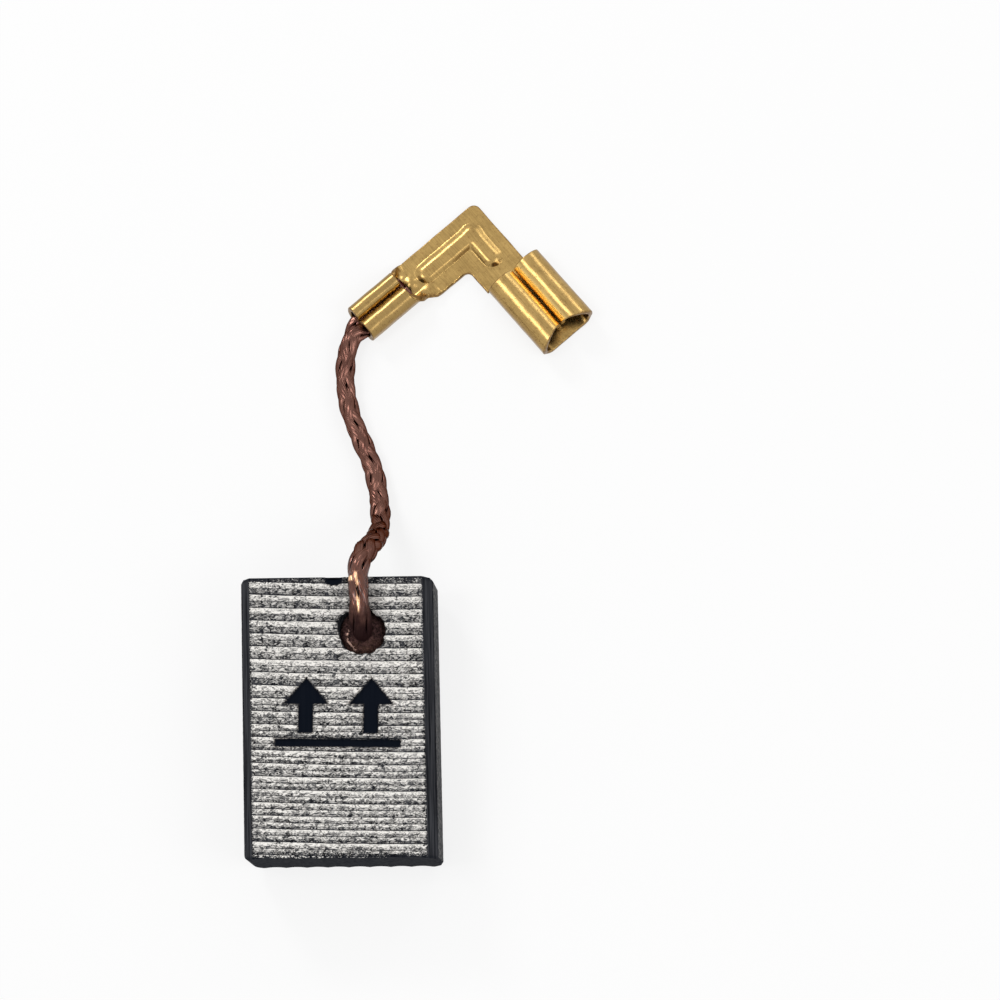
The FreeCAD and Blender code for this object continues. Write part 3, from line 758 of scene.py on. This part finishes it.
def braid_shape():
    curve_piece = lead_curve()
    line_mesh = bpy.data.meshes.new_from_object(curve_piece)
    raw = np.array([vertex.co[:] for vertex in line_mesh.vertices]) / MM
    bpy.data.meshes.remove(line_mesh)
    bpy.data.objects.remove(curve_piece)
    line, along = even_stations(raw, STATION_STEP)
    ahead, across, other = carried_frames(line)
    length = along[-1]
    rng = np.random.default_rng(7)

    # The bundles lie steeper where the braid is bunched up in the bend behind the block.
    lay = np.interp(along, [0, 5.5, 8.5, 11.5, 15.0, 20.0, length], [20, 15, 8.8, 8.0, 8.6, 9.6, 9.0])
    phase = np.concatenate([[0], np.cumsum(2 * math.pi / lay[1:] * np.diff(along))])
    swell = np.interp(along, [0, 3.4, 4.6, 6.5, 8.0, 9.1, 10.5, 12.5, 20, length],
                      [1.0, 1.08, 1.10, 1.06, 1.10, 1.20, 1.10, 1.05, 1.0, 1.0])
    slant = np.arctan(2 * math.pi * BRAID_RADIUS / lay)

    # In the crimp the section is crushed wide and flat.
    up = np.array([0.0, 0.0, 1.0])
    flat_up = unit(up - (ahead @ up)[:, None] * ahead + 1e-9)
    beside = np.cross(ahead, flat_up)
    crush = smooth(along, *(length - from_end for from_end in CRUSH_FROM_END))
    widened = (CRUSH_WIDTH - 1) * crush[:, None, None]
    flattened = (CRUSH_HEIGHT - 1) * crush[:, None, None]

    def placed(turn, radius):
        """Points round the line, station by station, from their turns and radii."""
        offset = across[:, None] * (np.cos(turn) * radius)[..., None]
        offset = offset + other[:, None] * (np.sin(turn) * radius)[..., None]
        high = (offset * flat_up[:, None]).sum(axis=-1, keepdims=True)
        wide = (offset * beside[:, None]).sum(axis=-1, keepdims=True)
        return line[:, None] + offset + flat_up[:, None] * high * flattened + beside[:, None] * wide * widened

    points, faces, wires, depths, places = [], [], [], [], []

    def add(grid, wire, depth, stations):
        first = sum(len(part) for part in points)
        quads, ends = loop_faces(stations, grid.shape[1])
        points.append(grid[:stations].reshape(-1, 3))
        faces.extend((quads + first).tolist() + [[n + first for n in face] for face in ends])
        wires.append(np.broadcast_to(wire, grid.shape[:2])[:stations].ravel())
        depths.append(np.broadcast_to(depth, grid.shape[:2])[:stations].ravel())
        places.append(np.broadcast_to(along[:, None], grid.shape[:2])[:stations].ravel())

    round_turns = np.linspace(0, 2 * math.pi, CORE_SIDES, endpoint=False)
    round_turns = np.broadcast_to(round_turns, (len(line), CORE_SIDES))
    core = np.broadcast_to((CORE_RADIUS * swell)[:, None], round_turns.shape)
    add(placed(round_turns, core), 0.0, 0.0, len(line) - 2)

    share, height, top = bundle_section()
    for way in (-1, 1):
        for bundle in range(BUNDLES_EACH_WAY):
            lift = way * BRAID_LIFT * np.cos(BUNDLES_EACH_WAY * phase)
            sway = 0.06 * np.sin(2 * math.pi * along / rng.uniform(4, 7) + rng.uniform(0, 6.3))
            fuller = 1 + 0.08 * np.sin(2 * math.pi * along / rng.uniform(2.5, 5) + rng.uniform(0, 6.3))
            drift = WIRE_DRIFT * along + rng.uniform(0, 1)
            ridge = np.abs(np.sin(math.pi * (RIDGES * (share + 1) / 2 + drift[:, None]))) - 0.5
            ridge = ridge * np.where(top, 1 - share ** 4, 0) * RIDGE_HEIGHT
            radius = BRAID_RADIUS + lift[:, None] + BUNDLE_HALF_THICKNESS * height * fuller[:, None] + ridge
            half_width = BUNDLE_HALF_WIDTH * (1.5 - 0.5 * fuller) / np.cos(slant) / BRAID_RADIUS
            middle = way * phase + 2 * math.pi * bundle / BUNDLES_EACH_WAY + sway
            turn = middle[:, None] + half_width[:, None] * share
            wire = WIRES * (share + 1) / 2 + drift[:, None]
            depth = (radius - BRAID_RADIUS + 0.12) / 0.26
            stations = len(line) - int(rng.uniform(0, LOOSE_END) / STATION_STEP)
            add(placed(turn, radius * swell[:, None]), wire, depth, stations)
    values = {"wire": np.concatenate(wires), "depth": np.concatenate(depths), "along": np.concatenate(places)}
    return np.concatenate(points), faces, line, values


def copper_finish():
    material, shader, place = new_material("bare copper wire")
    x, y, z = split(place)
    patches = grains(place, (0.8, 1.2, 0.8), contrast=2.4)
    specks = grains(place, (0.06, 0.16, 0.06), contrast=2.5)
    wire, depth, along = (painted(place, name) for name in ("wire", "depth", "along"))
    crown = abs(calc("SINE", wire * math.pi))
    tone = patches["Speckle"] * 0.5 + specks["Speckle"] * 0.25 + random_tone(wire) * 0.4

    # Over the block the wires are redder and glossy. Near and in the bore they are powder-covered and
    # darkened with painted shade, and painted shade also darkens the gaps between bundles and wires and the
    # edges seen edge-on.
    blotched = (patches["Speckle"] - 0.5) * 0.9 + along
    over_block = rising(blotched, 4.8, 5.7) * falling(blotched, 7.2, 7.9)
    clean = blend_colour(over_block, blend_colour(tone, *WIRE_COLOURS), blend_colour(tone, *RED_WIRE_COLOURS))
    raised = rising(depth, 0.25, 0.85)
    facing = Shade(node(shader.id_data, "LayerWeight", {"Blend": 0.5}).outputs["Facing"])
    # Painted shade: dark in the low gaps and the grooves between wires, and on edges that turn away from the
    # view.
    unshaded = raised * (rising(crown, 0.0, 0.7) * 0.7 + 0.3) * (1 - rising(facing, 0.35, 0.95) * 0.75)
    # Near the bore the wires are covered in powder, duller and hardly metallic, and darkened further with
    # painted shade of the bore.
    powder_and_shade = falling(blotched, 4.4, 5.9)
    wire_colour = blend_colour(powder_and_shade * 0.93, blend_colour(unshaded, GAP_SHADE_COLOUR, clean), POWDER_AND_SHADE_COLOUR)

    # Over the block's edge a painted highlight lies on the wires, in a streak along the top and a patch on
    # its left.
    off_streak = abs(x + y * 0.06 - 1.79) + (patches["Fine"] - 0.5) * 0.10
    highlight_streak = falling(off_streak, 0.02, 0.11) * rising(y, 5.6, 6.0) * falling(y, 7.9, 8.1)
    off_patch = larger(abs(x - PAINTED_HIGHLIGHT_PATCH[0]), abs(y - PAINTED_HIGHLIGHT_PATCH[1])) + (specks["Fine"] - 0.5) * 0.10
    painted_highlight = larger(highlight_streak, falling(off_patch, 0.04, 0.2)) * rising(z, 5.8, 6.0) * raised
    feed(shader, {
        "Base Color": blend_colour(painted_highlight, wire_colour, PAINTED_HIGHLIGHT_COLOUR),
        "Metallic": 1 - powder_and_shade * 0.85,
        "Roughness": patches["Speckle"] * 0.10 + 0.13 + powder_and_shade * 0.4,
        "Specular IOR Level": 0.1,
        "Specular Tint": (0.42, 0.36, 0.34, 1),
        "Coat Weight": over_block * (1 - powder_and_shade * 0.9),
        "Coat Roughness": 0.08,
        "Normal": bumped(specks["Fine"] * 0.3 + crown, 0.35, 0.012),
    })
    return material


braid_points, braid_faces, lead_line, braid_values = braid_shape()
braid = mesh_piece("copper_braid", braid_points, braid_faces, copper_finish(), braid_values)
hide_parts("shunt_braid")
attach(braid, "root")


# Flag terminal
# One brass sheet, 0.3 mm thick, stamped and rolled: a crimp barrel closed over the lead, a flat L with a
# raised bead, and the socket for the tab with its two curls. It is laid out along its own axes, X from the
# crimp's mouth towards the L, and then turned and set down at the end of the lead.

SHEET = 0.3
SHEET_STEP = 0.072
EDGE_ROUND = 0.05
MOUTH = (1.23, 23.57)
CRIMP_HEADING = 39.0
CRIMP_LENGTH = 3.4
CRIMP_WIDTH = 2.35
CRIMP_HEIGHT = 1.65
BEND_RADIUS = 0.6
CURL_OUTSIDE = 0.51
CURL_AT_SEAM = 0.47
CRIMP_SEAM = 0.06
CRIMP_SEAM_SIDE = 0.15
CRIMP_RAKE = 0.2
CRIMP_TIP = 1.0
WEB_LEFT = 1.375
WEB_RIGHT = 1.575
NECK_END = 4.2
ELBOW = 9.94
INNER_EDGE = 6.99
OUTER_RADIUS = 0.45
INNER_RADIUS = 0.35
BEAD_HEIGHT = 0.24
BEAD_FOOT = 0.56
BEAD_CREST = 0.25
BEAD_START = 5.0
BEAD_MIDDLE = -0.045
BEAD_CORNER = 8.52
BEAD_END = -1.845
RECEPTACLE_WIDTH = 3.74
RECEPTACLE_LENGTH = 5.15
RECEPTACLE_HEIGHT = 1.95
RECEPTACLE_SEAM = 0.08
RECEPTACLE_NOTCH = 0.8
RECEPTACLE_MIDDLE = 8.895
RECEPTACLE_START = -3.325
TAB_GAP = 0.55
SLIT = 0.12
CURL_RAKE = 0.05
DOME = (3.95, 0.1)
DOME_HEIGHT = 0.18
DOME_RADIUS = 0.38
SEAM_RAGGED = 0.03
WOBBLE = 0.010
RIGHT_WALL = ((90, 62, 35, 22, 0), (3.4, 3.75, 4.1, 4.4, 5.0))
LEFT_WALL = ((90, 48, 12, 0), (3.4, 3.6, 3.9, 4.15))
CURL_RUN_OUT = 0.6
BRASS_COLOURS = ((0.29, 0.185, 0.064, 1), (0.53, 0.350, 0.125, 1))
CRIMP_COLOUR = (0.28, 0.185, 0.07, 1)
# Painted shade of the flanks.
FLANK_SHADE_COLOUR = (0.31, 0.185, 0.055, 1)
GROOVE_GLOW_COLOUR = (0.86, 0.61, 0.23, 1)
TARNISH_COLOUR = (0.15, 0.075, 0.028, 1)
FAR = 9


def rolled(width, height, tip, tip_height):
    """Lengths and turns of the stretches of half a rolled section, from the floor's middle to its tip."""
    wall = (width - SHEET) / 2
    top = height - SHEET / 2
    outer, inner = CURL_OUTSIDE * (wall - tip), CURL_AT_SEAM * (wall - tip)
    return [
        (wall - BEND_RADIUS, 0), (BEND_RADIUS * math.pi / 2, 90), (top - outer - SHEET / 2 - BEND_RADIUS, 0),
        (outer * math.pi / 2, 90), (wall - tip - outer - inner, 0), (inner * math.pi / 2, 90),
        (top - inner - tip_height, 0),
    ]


def bent(distances, stretches):
    """Places along a strip bent in the given stretches: how far across, and how high above its start."""
    places = np.zeros((len(distances), 2))
    at, heading, start = np.zeros(2), 0.0, 0.0
    for length, turn in stretches:
        turn = math.radians(turn)
        run = np.append(np.clip(distances - start, 0, length), length)
        if turn:
            now = heading + turn * run / length
            step = np.stack([np.sin(now) - math.sin(heading), math.cos(heading) - np.cos(now)], axis=1)
            step = length / turn * step
        else:
            step = run[:, None] * np.array([math.cos(heading), math.sin(heading)])
        reached = distances >= start
        places[reached] = (at + step[:-1])[reached]
        at, heading, start = at + step[-1], heading + turn, start + length
    return places


def both_sides(right, right_stretches, left, left_stretches):
    """A whole section, from its right tip to its left tip: places across (left is positive) and heights."""
    right_half = bent(right, right_stretches) * (-1, 1)
    return np.concatenate([right_half, bent(left, left_stretches)]) + (0, SHEET / 2)


def bead_rise(x, y):
    """Height of the L-shaped bead pressed up in the web, and of the small dome at the neck."""
    long_leg = np.hypot(x - np.clip(x, BEAD_START, BEAD_CORNER), y - BEAD_MIDDLE)
    short_leg = np.hypot(x - BEAD_CORNER, y - np.clip(y, BEAD_END, BEAD_MIDDLE))
    share = np.clip(0.5 + (short_leg - long_leg) / 0.4, 0, 1)
    distance = short_leg * (1 - share) + long_leg * share - 0.2 * share * (1 - share)
    outside = smooth(np.maximum(y - BEAD_MIDDLE, x - BEAD_CORNER), -0.15, 0.15)
    crest, foot = BEAD_CREST - 0.05 * outside, BEAD_FOOT + 0.12 * outside
    fall = np.clip((distance - crest) / (foot - crest), 0, 1)
    dome = DOME_HEIGHT * bell(x, DOME[0], DOME_RADIUS) * bell(y, DOME[1], DOME_RADIUS)
    return BEAD_HEIGHT * (1 - 0.5 * fall - 0.5 * smooth(fall, 0, 1)) + np.where(x > CRIMP_LENGTH, dome, 0)


def drawn_to_circle(x, y, centre, radius, reach):
    """Points near a square corner move so that the corner becomes round. Past the radius this fades out."""
    a = (x - centre[0]) / radius
    b = (y - centre[1]) / radius
    far = np.maximum(a, b)
    factor = far / np.maximum(np.hypot(a, b), 1e-9)
    fade = np.clip((reach - far) / (reach - 1), 0, 1) if reach > 1 else 1.0
    factor = np.where((a > 0) & (b > 0), 1 + (factor - 1) * fade, 1.0)
    return centre[0] + (x - centre[0]) * factor, centre[1] + (y - centre[1]) * factor


def sheet_middle():
    """The middle of the brass sheet as one grid of quads, in the terminal's own axes."""
    grids = []

    def lay(grid):
        first = sum(part.shape[0] * part.shape[1] for part in grids)
        grids.append(grid)
        return first + np.arange(grid.shape[0] * grid.shape[1]).reshape(grid.shape[:2])

    def quads_of(numbers):
        corners = [numbers[:-1, :-1], numbers[1:, :-1], numbers[1:, 1:], numbers[:-1, 1:]]
        return np.stack(corners, axis=-1).reshape(-1, 4)

    # Crimp barrel. Its middle columns go on as the neck and the web.
    tip = CRIMP_SEAM / 2 + SHEET / 2
    left_roll = rolled(CRIMP_WIDTH, CRIMP_HEIGHT, tip + CRIMP_SEAM_SIDE, CRIMP_TIP)
    right_roll = rolled(CRIMP_WIDTH, CRIMP_HEIGHT, tip - CRIMP_SEAM_SIDE, CRIMP_TIP)
    right_wide = np.array([2.3, 2.0, 1.6, 1.36, 1.33, WEB_RIGHT, WEB_RIGHT])
    right_at = np.array([3.4, 3.6, 3.9, 4.1, NECK_END, 4.7, ELBOW])
    left_wide = np.array([1.5, 1.455, WEB_LEFT, WEB_LEFT])
    left_at = np.array([3.4, 3.75, NECK_END, ELBOW])
    shares = np.linspace(0, 1, 23)
    right_shares = np.linspace(0, 1, 33)
    right_total = sum(length for length, turn in right_roll)
    left_total = sum(length for length, turn in left_roll)
    right_curl = steps(right_total, right_wide[0], SHEET_STEP)[:-1]
    left_curl = steps(left_wide[0], left_total, SHEET_STEP)[1:]
    right = np.concatenate([right_curl, right_shares[:0:-1] * right_wide[0]])
    left = np.concatenate([shares * left_wide[0], left_curl])
    section = both_sides(right, right_roll, left, left_roll)
    middle_columns = slice(len(right) - len(right_shares) + 1, len(right) + len(shares))
    mouth = CRIMP_RAKE * np.clip((section[:, 1] - SHEET) / (CRIMP_HEIGHT - SHEET), 0, 1)
    up_right = np.clip((right - right_wide[0]) / (right_total - right_wide[0]), 0, 1)
    right_end = CRIMP_LENGTH - CURL_RAKE * up_right
    end = np.concatenate([right_end, np.full(len(left), CRIMP_LENGTH)])
    forward = steps(0, 1, SHEET_STEP / CRIMP_LENGTH)[:, None]
    crimp = np.empty((len(forward), len(section), 3))
    crimp[..., 0] = mouth + (end - mouth) * forward
    crimp[..., 1:] = section
    seam_right = smooth(right, right_total - 0.5, right_total)
    seam_left = smooth(left, left_total - 0.5, left_total)
    torn = np.sin(9.0 * crimp[..., 0] + 1.0) + np.sin(21.0 * crimp[..., 0] + 4.0)
    crimp[..., 1] += SEAM_RAGGED * 0.5 * torn * np.concatenate([seam_right, -seam_left])
    crimp_numbers = lay(crimp)

    # Neck and web. The neck's walls open out, first on the left, into the flat web.
    xs = steps(CRIMP_LENGTH, ELBOW, SHEET_STEP, (INNER_EDGE, RECEPTACLE_MIDDLE - RECEPTACLE_WIDTH / 2 + 0.75))
    web = np.empty((len(xs) - 1, len(right_shares) + len(shares) - 1, 3))
    upright, curl_length = right_roll[2][0], right_roll[3][0]
    for row, x in enumerate(xs[1:]):
        halves = []
        for columns, wide, at, angles, angle_at, curled in (
            (right_shares, right_wide, right_at, *RIGHT_WALL, 1 - (x - CRIMP_LENGTH) / CURL_RUN_OUT),
            (shares, left_wide, left_at, *LEFT_WALL, 0),
        ):
            angle = np.interp(x, angle_at, angles)
            stretches = [(CRIMP_WIDTH / 2 - SHEET / 2 - BEND_RADIUS, 0)]
            if angle:
                stretches.append((BEND_RADIUS * math.radians(angle), angle))
            if curled > 0:
                stretches += [(upright, 0), (curl_length, 90 * curled)]
            halves.append((columns * np.interp(x, at, wide), stretches + [(9.0, 0)]))
        (right_places, right_bends), (left_places, left_bends) = halves
        web[row, :, 0] = x
        web[row, :, 1:] = both_sides(right_places[:0:-1], right_bends, left_places, left_bends)
    flat = web[..., 0] > NECK_END
    corner = (ELBOW - OUTER_RADIUS, WEB_LEFT - OUTER_RADIUS)
    round_x, round_y = drawn_to_circle(web[..., 0], web[..., 1], corner, OUTER_RADIUS, 1)
    web[..., 0], web[..., 1] = np.where(flat, round_x, web[..., 0]), np.where(flat, round_y, web[..., 1])
    web_numbers = np.vstack([crimp_numbers[-1:, middle_columns], lay(web)])

    # Short arm, across to the receptacle.
    arm_xs = xs[xs > INNER_EDGE - 1e-6]
    arm_ys = steps(-WEB_RIGHT, RECEPTACLE_START, SHEET_STEP)[1:]
    arm = np.stack([*np.meshgrid(arm_xs, arm_ys), np.full((len(arm_ys), len(arm_xs)), SHEET / 2)], axis=-1)
    arm_numbers = np.vstack([web_numbers[-len(arm_xs):, 0][None], lay(arm)])

    # Receptacle. Only the flat part of its floor hangs on the arm, and a slit frees the rest.
    half_roll = rolled(RECEPTACLE_WIDTH, RECEPTACLE_HEIGHT, RECEPTACLE_SEAM / 2 + SHEET / 2, SHEET + TAB_GAP)
    half_floor = half_roll[0][0]
    half_total = sum(length for length, turn in half_roll)
    shared = arm_xs > RECEPTACLE_MIDDLE - half_floor - 1e-6
    shared_places = arm_xs[shared] - RECEPTACLE_MIDDLE
    outer_left = steps(-half_total, shared_places[0], SHEET_STEP)[:-1]
    outer_right = steps(shared_places[-1], half_total, SHEET_STEP)[1:]
    places = np.concatenate([outer_left, shared_places, outer_right])
    section = bent(np.abs(places), half_roll) * np.column_stack([np.sign(places), np.ones(len(places))])
    height = section[:, 1] + SHEET / 2
    lifted = smooth(height, SHEET / 2, SHEET / 2 + 0.4)
    off_wall = 1 - np.abs(section[:, 0]) / (RECEPTACLE_WIDTH / 2)
    reach = RECEPTACLE_LENGTH - RECEPTACLE_NOTCH * off_wall * lifted
    set_back = SLIT * np.clip((np.abs(places) - half_floor) / 0.5, 0, 1)
    down = steps(0, 1, SHEET_STEP / RECEPTACLE_LENGTH)[:, None]
    socket = np.empty((len(down), len(places), 3))
    socket[..., 0] = RECEPTACLE_MIDDLE + section[:, 0]
    socket[..., 1] = RECEPTACLE_START - set_back - (reach - set_back) * down
    socket[..., 2] = height
    socket_numbers = lay(socket)
    socket_numbers[0, len(outer_left):len(outer_left) + shared.sum()] = arm_numbers[-1, shared]

    points = np.concatenate([grid.reshape(-1, 3) for grid in grids])
    parts = (crimp_numbers, web_numbers, arm_numbers, socket_numbers)
    quads = np.concatenate([quads_of(part) for part in parts])
    fillet = (INNER_EDGE - INNER_RADIUS, -WEB_RIGHT - INNER_RADIUS)
    low = (points[:, 2] < SHEET / 2 + 1e-3) & (points[:, 1] > RECEPTACLE_START + 0.2)
    round_x, round_y = drawn_to_circle(points[:, 0], points[:, 1], fillet, INNER_RADIUS, 3.0)
    points[:, 0], points[:, 1] = np.where(low, round_x, points[:, 0]), np.where(low, round_y, points[:, 1])
    used = np.unique(quads)
    number = np.full(len(points), -1)
    number[used] = np.arange(len(used))
    return points[used], number[quads]


def thickened(points, quads):
    """A closed sheet of even thickness with rounded rims round these quads. It also gives, for each point,
    how near the rim it lies and how far its side of the sheet faces up or down."""
    turned = np.cross(points[quads[:, 2]] - points[quads[:, 0]], points[quads[:, 3]] - points[quads[:, 1]])
    normals = np.zeros_like(points)
    for corner in range(4):
        np.add.at(normals, quads[:, corner], turned)
    normals = unit(normals)
    edges = np.concatenate([quads[:, [corner, (corner + 1) % 4]] for corner in range(4)])
    known = {tuple(edge) for edge in edges.tolist()}
    lone = np.array([(b, a) not in known for a, b in edges.tolist()])
    rim_edges = edges[lone]
    along = unit(points[rim_edges[:, 1]] - points[rim_edges[:, 0]])
    sideways = np.cross(along, normals[rim_edges[:, 0]])
    outward = np.zeros_like(points)
    for end in (0, 1):
        np.add.at(outward, rim_edges[:, end], sideways)
    size = np.linalg.norm(outward, axis=1, keepdims=True)
    on_rim = np.unique(rim_edges)
    some = np.maximum(size, 1e-9)
    outward = outward / some * np.where(size > 0.5, np.minimum(2 / some, 1.5), 0)

    # Six rings of points at the rim, from the upper face round to the lower one.
    half = SHEET / 2
    slack = EDGE_ROUND * (1 - math.sqrt(0.5))
    profile = [(EDGE_ROUND, half), (slack, half - slack), (0, half - EDGE_ROUND)]
    profile += [(back, -high) for back, high in profile[::-1]]
    count = len(points)
    place_on_rim = np.full(count, -1)
    place_on_rim[on_rim] = np.arange(len(on_rim))
    upper = points + normals * half - outward * EDGE_ROUND
    lower = points - normals * half - outward * EDGE_ROUND
    rings = [points[on_rim] + normals[on_rim] * high - outward[on_rim] * back for back, high in profile[1:-1]]
    numbers = [np.arange(count)]
    numbers += [2 * count + ring * len(on_rim) + place_on_rim for ring in range(4)]
    numbers.append(count + np.arange(count))
    faces = [quads, quads[:, ::-1] + count]
    for this, following in zip(numbers, numbers[1:]):
        start, end = rim_edges.T
        faces.append(np.stack([this[end], this[start], following[start], following[end]], axis=1))
    all_points = np.concatenate([upper, lower] + rings)

    from_rim = np.empty(count)
    for part in np.array_split(np.arange(count), 40):
        from_rim[part] = np.linalg.norm(points[part][:, None] - points[on_rim][None], axis=2).min(axis=1)
    near = np.exp(-from_rim / 0.09)
    rim_values = np.concatenate([near, near] + [np.ones(len(on_rim))] * 4)
    facing = normals[:, 2]
    facing_values = np.concatenate([facing, -facing] + [facing[on_rim] * side for side in (1, 1, -1, -1)])
    return all_points, np.concatenate(faces), rim_values, facing_values


def terminal_shape():
    points, quads = sheet_middle()
    points[:, 2] += bead_rise(points[:, 0], points[:, 1])
    soft = np.column_stack([wave_noise(points, 0.9, seed) for seed in (11, 12, 13)])
    fine = np.column_stack([wave_noise(points, 0.28, seed) for seed in (14, 15, 16)])
    points = points + WOBBLE * (1.4 * soft + 0.1 * fine)
    points, faces, rim, facing = thickened(points, quads)
    turn = math.radians(CRIMP_HEADING)
    x, y, z = points.T
    world = np.column_stack([
        MOUTH[0] + x * math.cos(turn) - y * math.sin(turn),
        MOUTH[1] + x * math.sin(turn) + y * math.cos(turn),
        np.maximum(z, 0),
    ])
    return world, faces.tolist(), {"rim": rim, "facing": facing}


def brass_finish():
    material, shader, place = new_material("stamped brass")
    tree = shader.id_data
    from_mouth = node(tree, "VectorMath", {0: place, 1: (*MOUTH, 0)}, operation="SUBTRACT").outputs[0]
    own = node(tree, "VectorRotate", {"Vector": from_mouth, "Angle": math.radians(-CRIMP_HEADING)},
               rotation_type="Z_AXIS").outputs[0]
    x, y, z = split(own)
    patches = grains(place, (1.3, 1.3, 1.3), contrast=2.4)
    specks = grains(place, (0.16, 0.16, 0.16), contrast=3.4)
    drawn = grains(own, (0.07, 1.1, 0.5), contrast=3.0)

    # The crowns keep the clean colour, the flanks that face sideways or down are darkened with painted shade,
    # and the crimp is darker.
    clean = blend_colour(patches["Speckle"] * 0.5 + drawn["Speckle"] * 0.5, *BRASS_COLOURS)
    clean = blend_colour(calc("LESS_THAN", x, CRIMP_LENGTH) * 0.6, clean, CRIMP_COLOUR)
    # Painted shade on the flanks, by how far the sheet faces up or down.
    brass = blend_colour(rising(abs(painted(place, "facing")), 0.0, 0.75), FLANK_SHADE_COLOUR, clean)

    # In the grooves along the seams lies a painted reflection, an orange glow of light bounced between the
    # curls. The rims and a few specks are tarnished.
    off_socket = abs(x - RECEPTACLE_MIDDLE) + calc("GREATER_THAN", y, RECEPTACLE_START + 0.125) * FAR
    off_crimp = abs(y - CRIMP_SEAM_SIDE) + calc("GREATER_THAN", x, CRIMP_LENGTH + 0.1) * FAR
    off_seam = calc("MINIMUM", off_socket, off_crimp + 0.35)
    # Painted reflection: an orange glow in the grooves by the seams.
    brass = blend_colour(falling(off_seam, 0.2, 0.6) * rising(z, 0.4, 0.6), brass, GROOVE_GLOW_COLOUR)
    speck = rising(specks["Speckle"], 0.70, 1.0) * 0.4
    edge = rising((specks["Speckle"] - 0.5) * 0.5 + painted(place, "rim"), 0.55, 1.2)
    tarnish = larger(speck, edge * 0.75)
    feed(shader, {
        "Base Color": blend_colour(tarnish, brass, TARNISH_COLOUR),
        "Metallic": 1.0,
        "Roughness": patches["Fine"] * 0.08 + 0.22 + tarnish * 0.2,
        "Normal": bumped(drawn["Speckle"] * 0.5 + specks["Fine"], 0.07, 0.01),
    })
    return material


terminal_points, terminal_faces, terminal_values = terminal_shape()
terminal = mesh_piece("brass_terminal", terminal_points, terminal_faces, brass_finish(), terminal_values)
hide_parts("flag_terminal")
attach(terminal, "root")
(lead_line * MM).tolist()


# Table
# A plain white table, far wider than the picture. It shows white from above and keeps a soft shadow, and from
# below it can be seen through.

TABLE_HALF = 3000.0
TABLE_TOP = -0.002
WHITE_SHARE = 0.8
VIEWED_RAYS = ("Camera", "Glossy", "Transmission")


def seen_directly(tree):
    """1 where the camera sees a thing straight on, or by way of a mirror or glass."""
    rays = node(tree, "LightPath").outputs
    straight, mirrored, through = (Shade(rays["Is " + kind + " Ray"]) for kind in VIEWED_RAYS)
    return larger(larger(straight, mirrored), through)


def table_finish():
    material = bpy.data.materials.new("white table")
    material.use_nodes = True
    tree = material.node_tree
    shader = tree.nodes["Principled BSDF"]
    feed(shader, {"Base Color": (0.95, 0.95, 0.95, 1), "Roughness": 0.9, "Specular IOR Level": 0.1})
    white = node(tree, "Emission", {"Color": (1, 1, 1, 1), "Strength": 1.0}).outputs[0]
    above = node(tree, "MixShader", {0: seen_directly(tree) * WHITE_SHARE, 1: shader.outputs[0], 2: white})
    below = node(tree, "BsdfTransparent").outputs[0]
    behind = node(tree, "NewGeometry").outputs["Backfacing"]
    mixed = node(tree, "MixShader", {0: behind, 1: above.outputs[0], 2: below}).outputs[0]
    feed(tree.nodes["Material Output"], {"Surface": mixed})
    return material


corners = ((-1, -1), (1, -1), (1, 1), (-1, 1))
table_points = [(x * TABLE_HALF, y * TABLE_HALF, TABLE_TOP) for x, y in corners]
table = mesh_piece("table", table_points, [(0, 1, 2, 3)], table_finish())


# Light
# An even white surround with four lamps. The key beyond the crimp and the glint at the left draw bright lines
# along the curls, the back one does so on the bead, and the fill is broad and soft.

WORLD_LIGHT = 0.5
LAMPS_AIM = (4, 12, 0)

world = bpy.data.worlds.new("studio")
bpy.context.scene.world = world
world.use_nodes = True
surround = world.node_tree
strength = seen_directly(surround) * (1 - WORLD_LIGHT) + WORLD_LIGHT
feed(surround.nodes["Background"], {"Color": (1, 1, 1, 1), "Strength": strength})


def aimed(place, aim, roll=0.0):
    """The place in space of a lamp or camera at one point that looks at another."""
    place = np.array(place, float) * MM
    back = unit(place - np.array(aim, float) * MM)
    side = unit(np.cross((0, 1, 0), back))
    up = np.cross(back, side)
    c, s = math.cos(math.radians(roll)), math.sin(math.radians(roll))
    turned = np.column_stack([side * c + up * s, up * c - side * s, back, place])
    return Matrix(turned.tolist() + [[0, 0, 0, 1]])


def lamp(name, place, size, power):
    light = bpy.data.lights.new(name, "AREA")
    light.shape = "RECTANGLE"
    light.size, light.size_y = (side * MM for side in size)
    light.energy = power
    holder = bpy.data.objects.new(name, light)
    bpy.context.scene.collection.objects.link(holder)
    holder.matrix_world = aimed(place, LAMPS_AIM)


lamp("key", place=(-140, 241, 188), size=(90, 60), power=0.24)
lamp("glint", place=(-123, 12, 268), size=(95, 95), power=0.17)
lamp("back", place=(167, 244, 174), size=(100, 60), power=0.06)
lamp("fill", place=(230, -60, 240), size=(160, 160), power=0.24)


# Camera
# It looks down from above the running end, leaning a little towards it, through a long lens that is given in
# pixels of the picture.

FOCAL_PIXELS = 4165
IMAGE_PIXELS = 1000
SENSOR = 36
STANDS_AT = (24.76, -32.84, 236.74)
LOOKS_AT = (9.32, 12.59, 2.5)

camera_data = bpy.data.cameras.new("camera")
camera_data.sensor_width = SENSOR
camera_data.lens = FOCAL_PIXELS / IMAGE_PIXELS * SENSOR
camera_data.clip_start = 0.005
camera = bpy.data.objects.new("camera", camera_data)
bpy.context.scene.collection.objects.link(camera)
camera.matrix_world = aimed(STANDS_AT, LOOKS_AT, roll=-1.385)
bpy.context.scene.camera = camera
bpy.context.scene.view_settings.view_transform = "Standard"
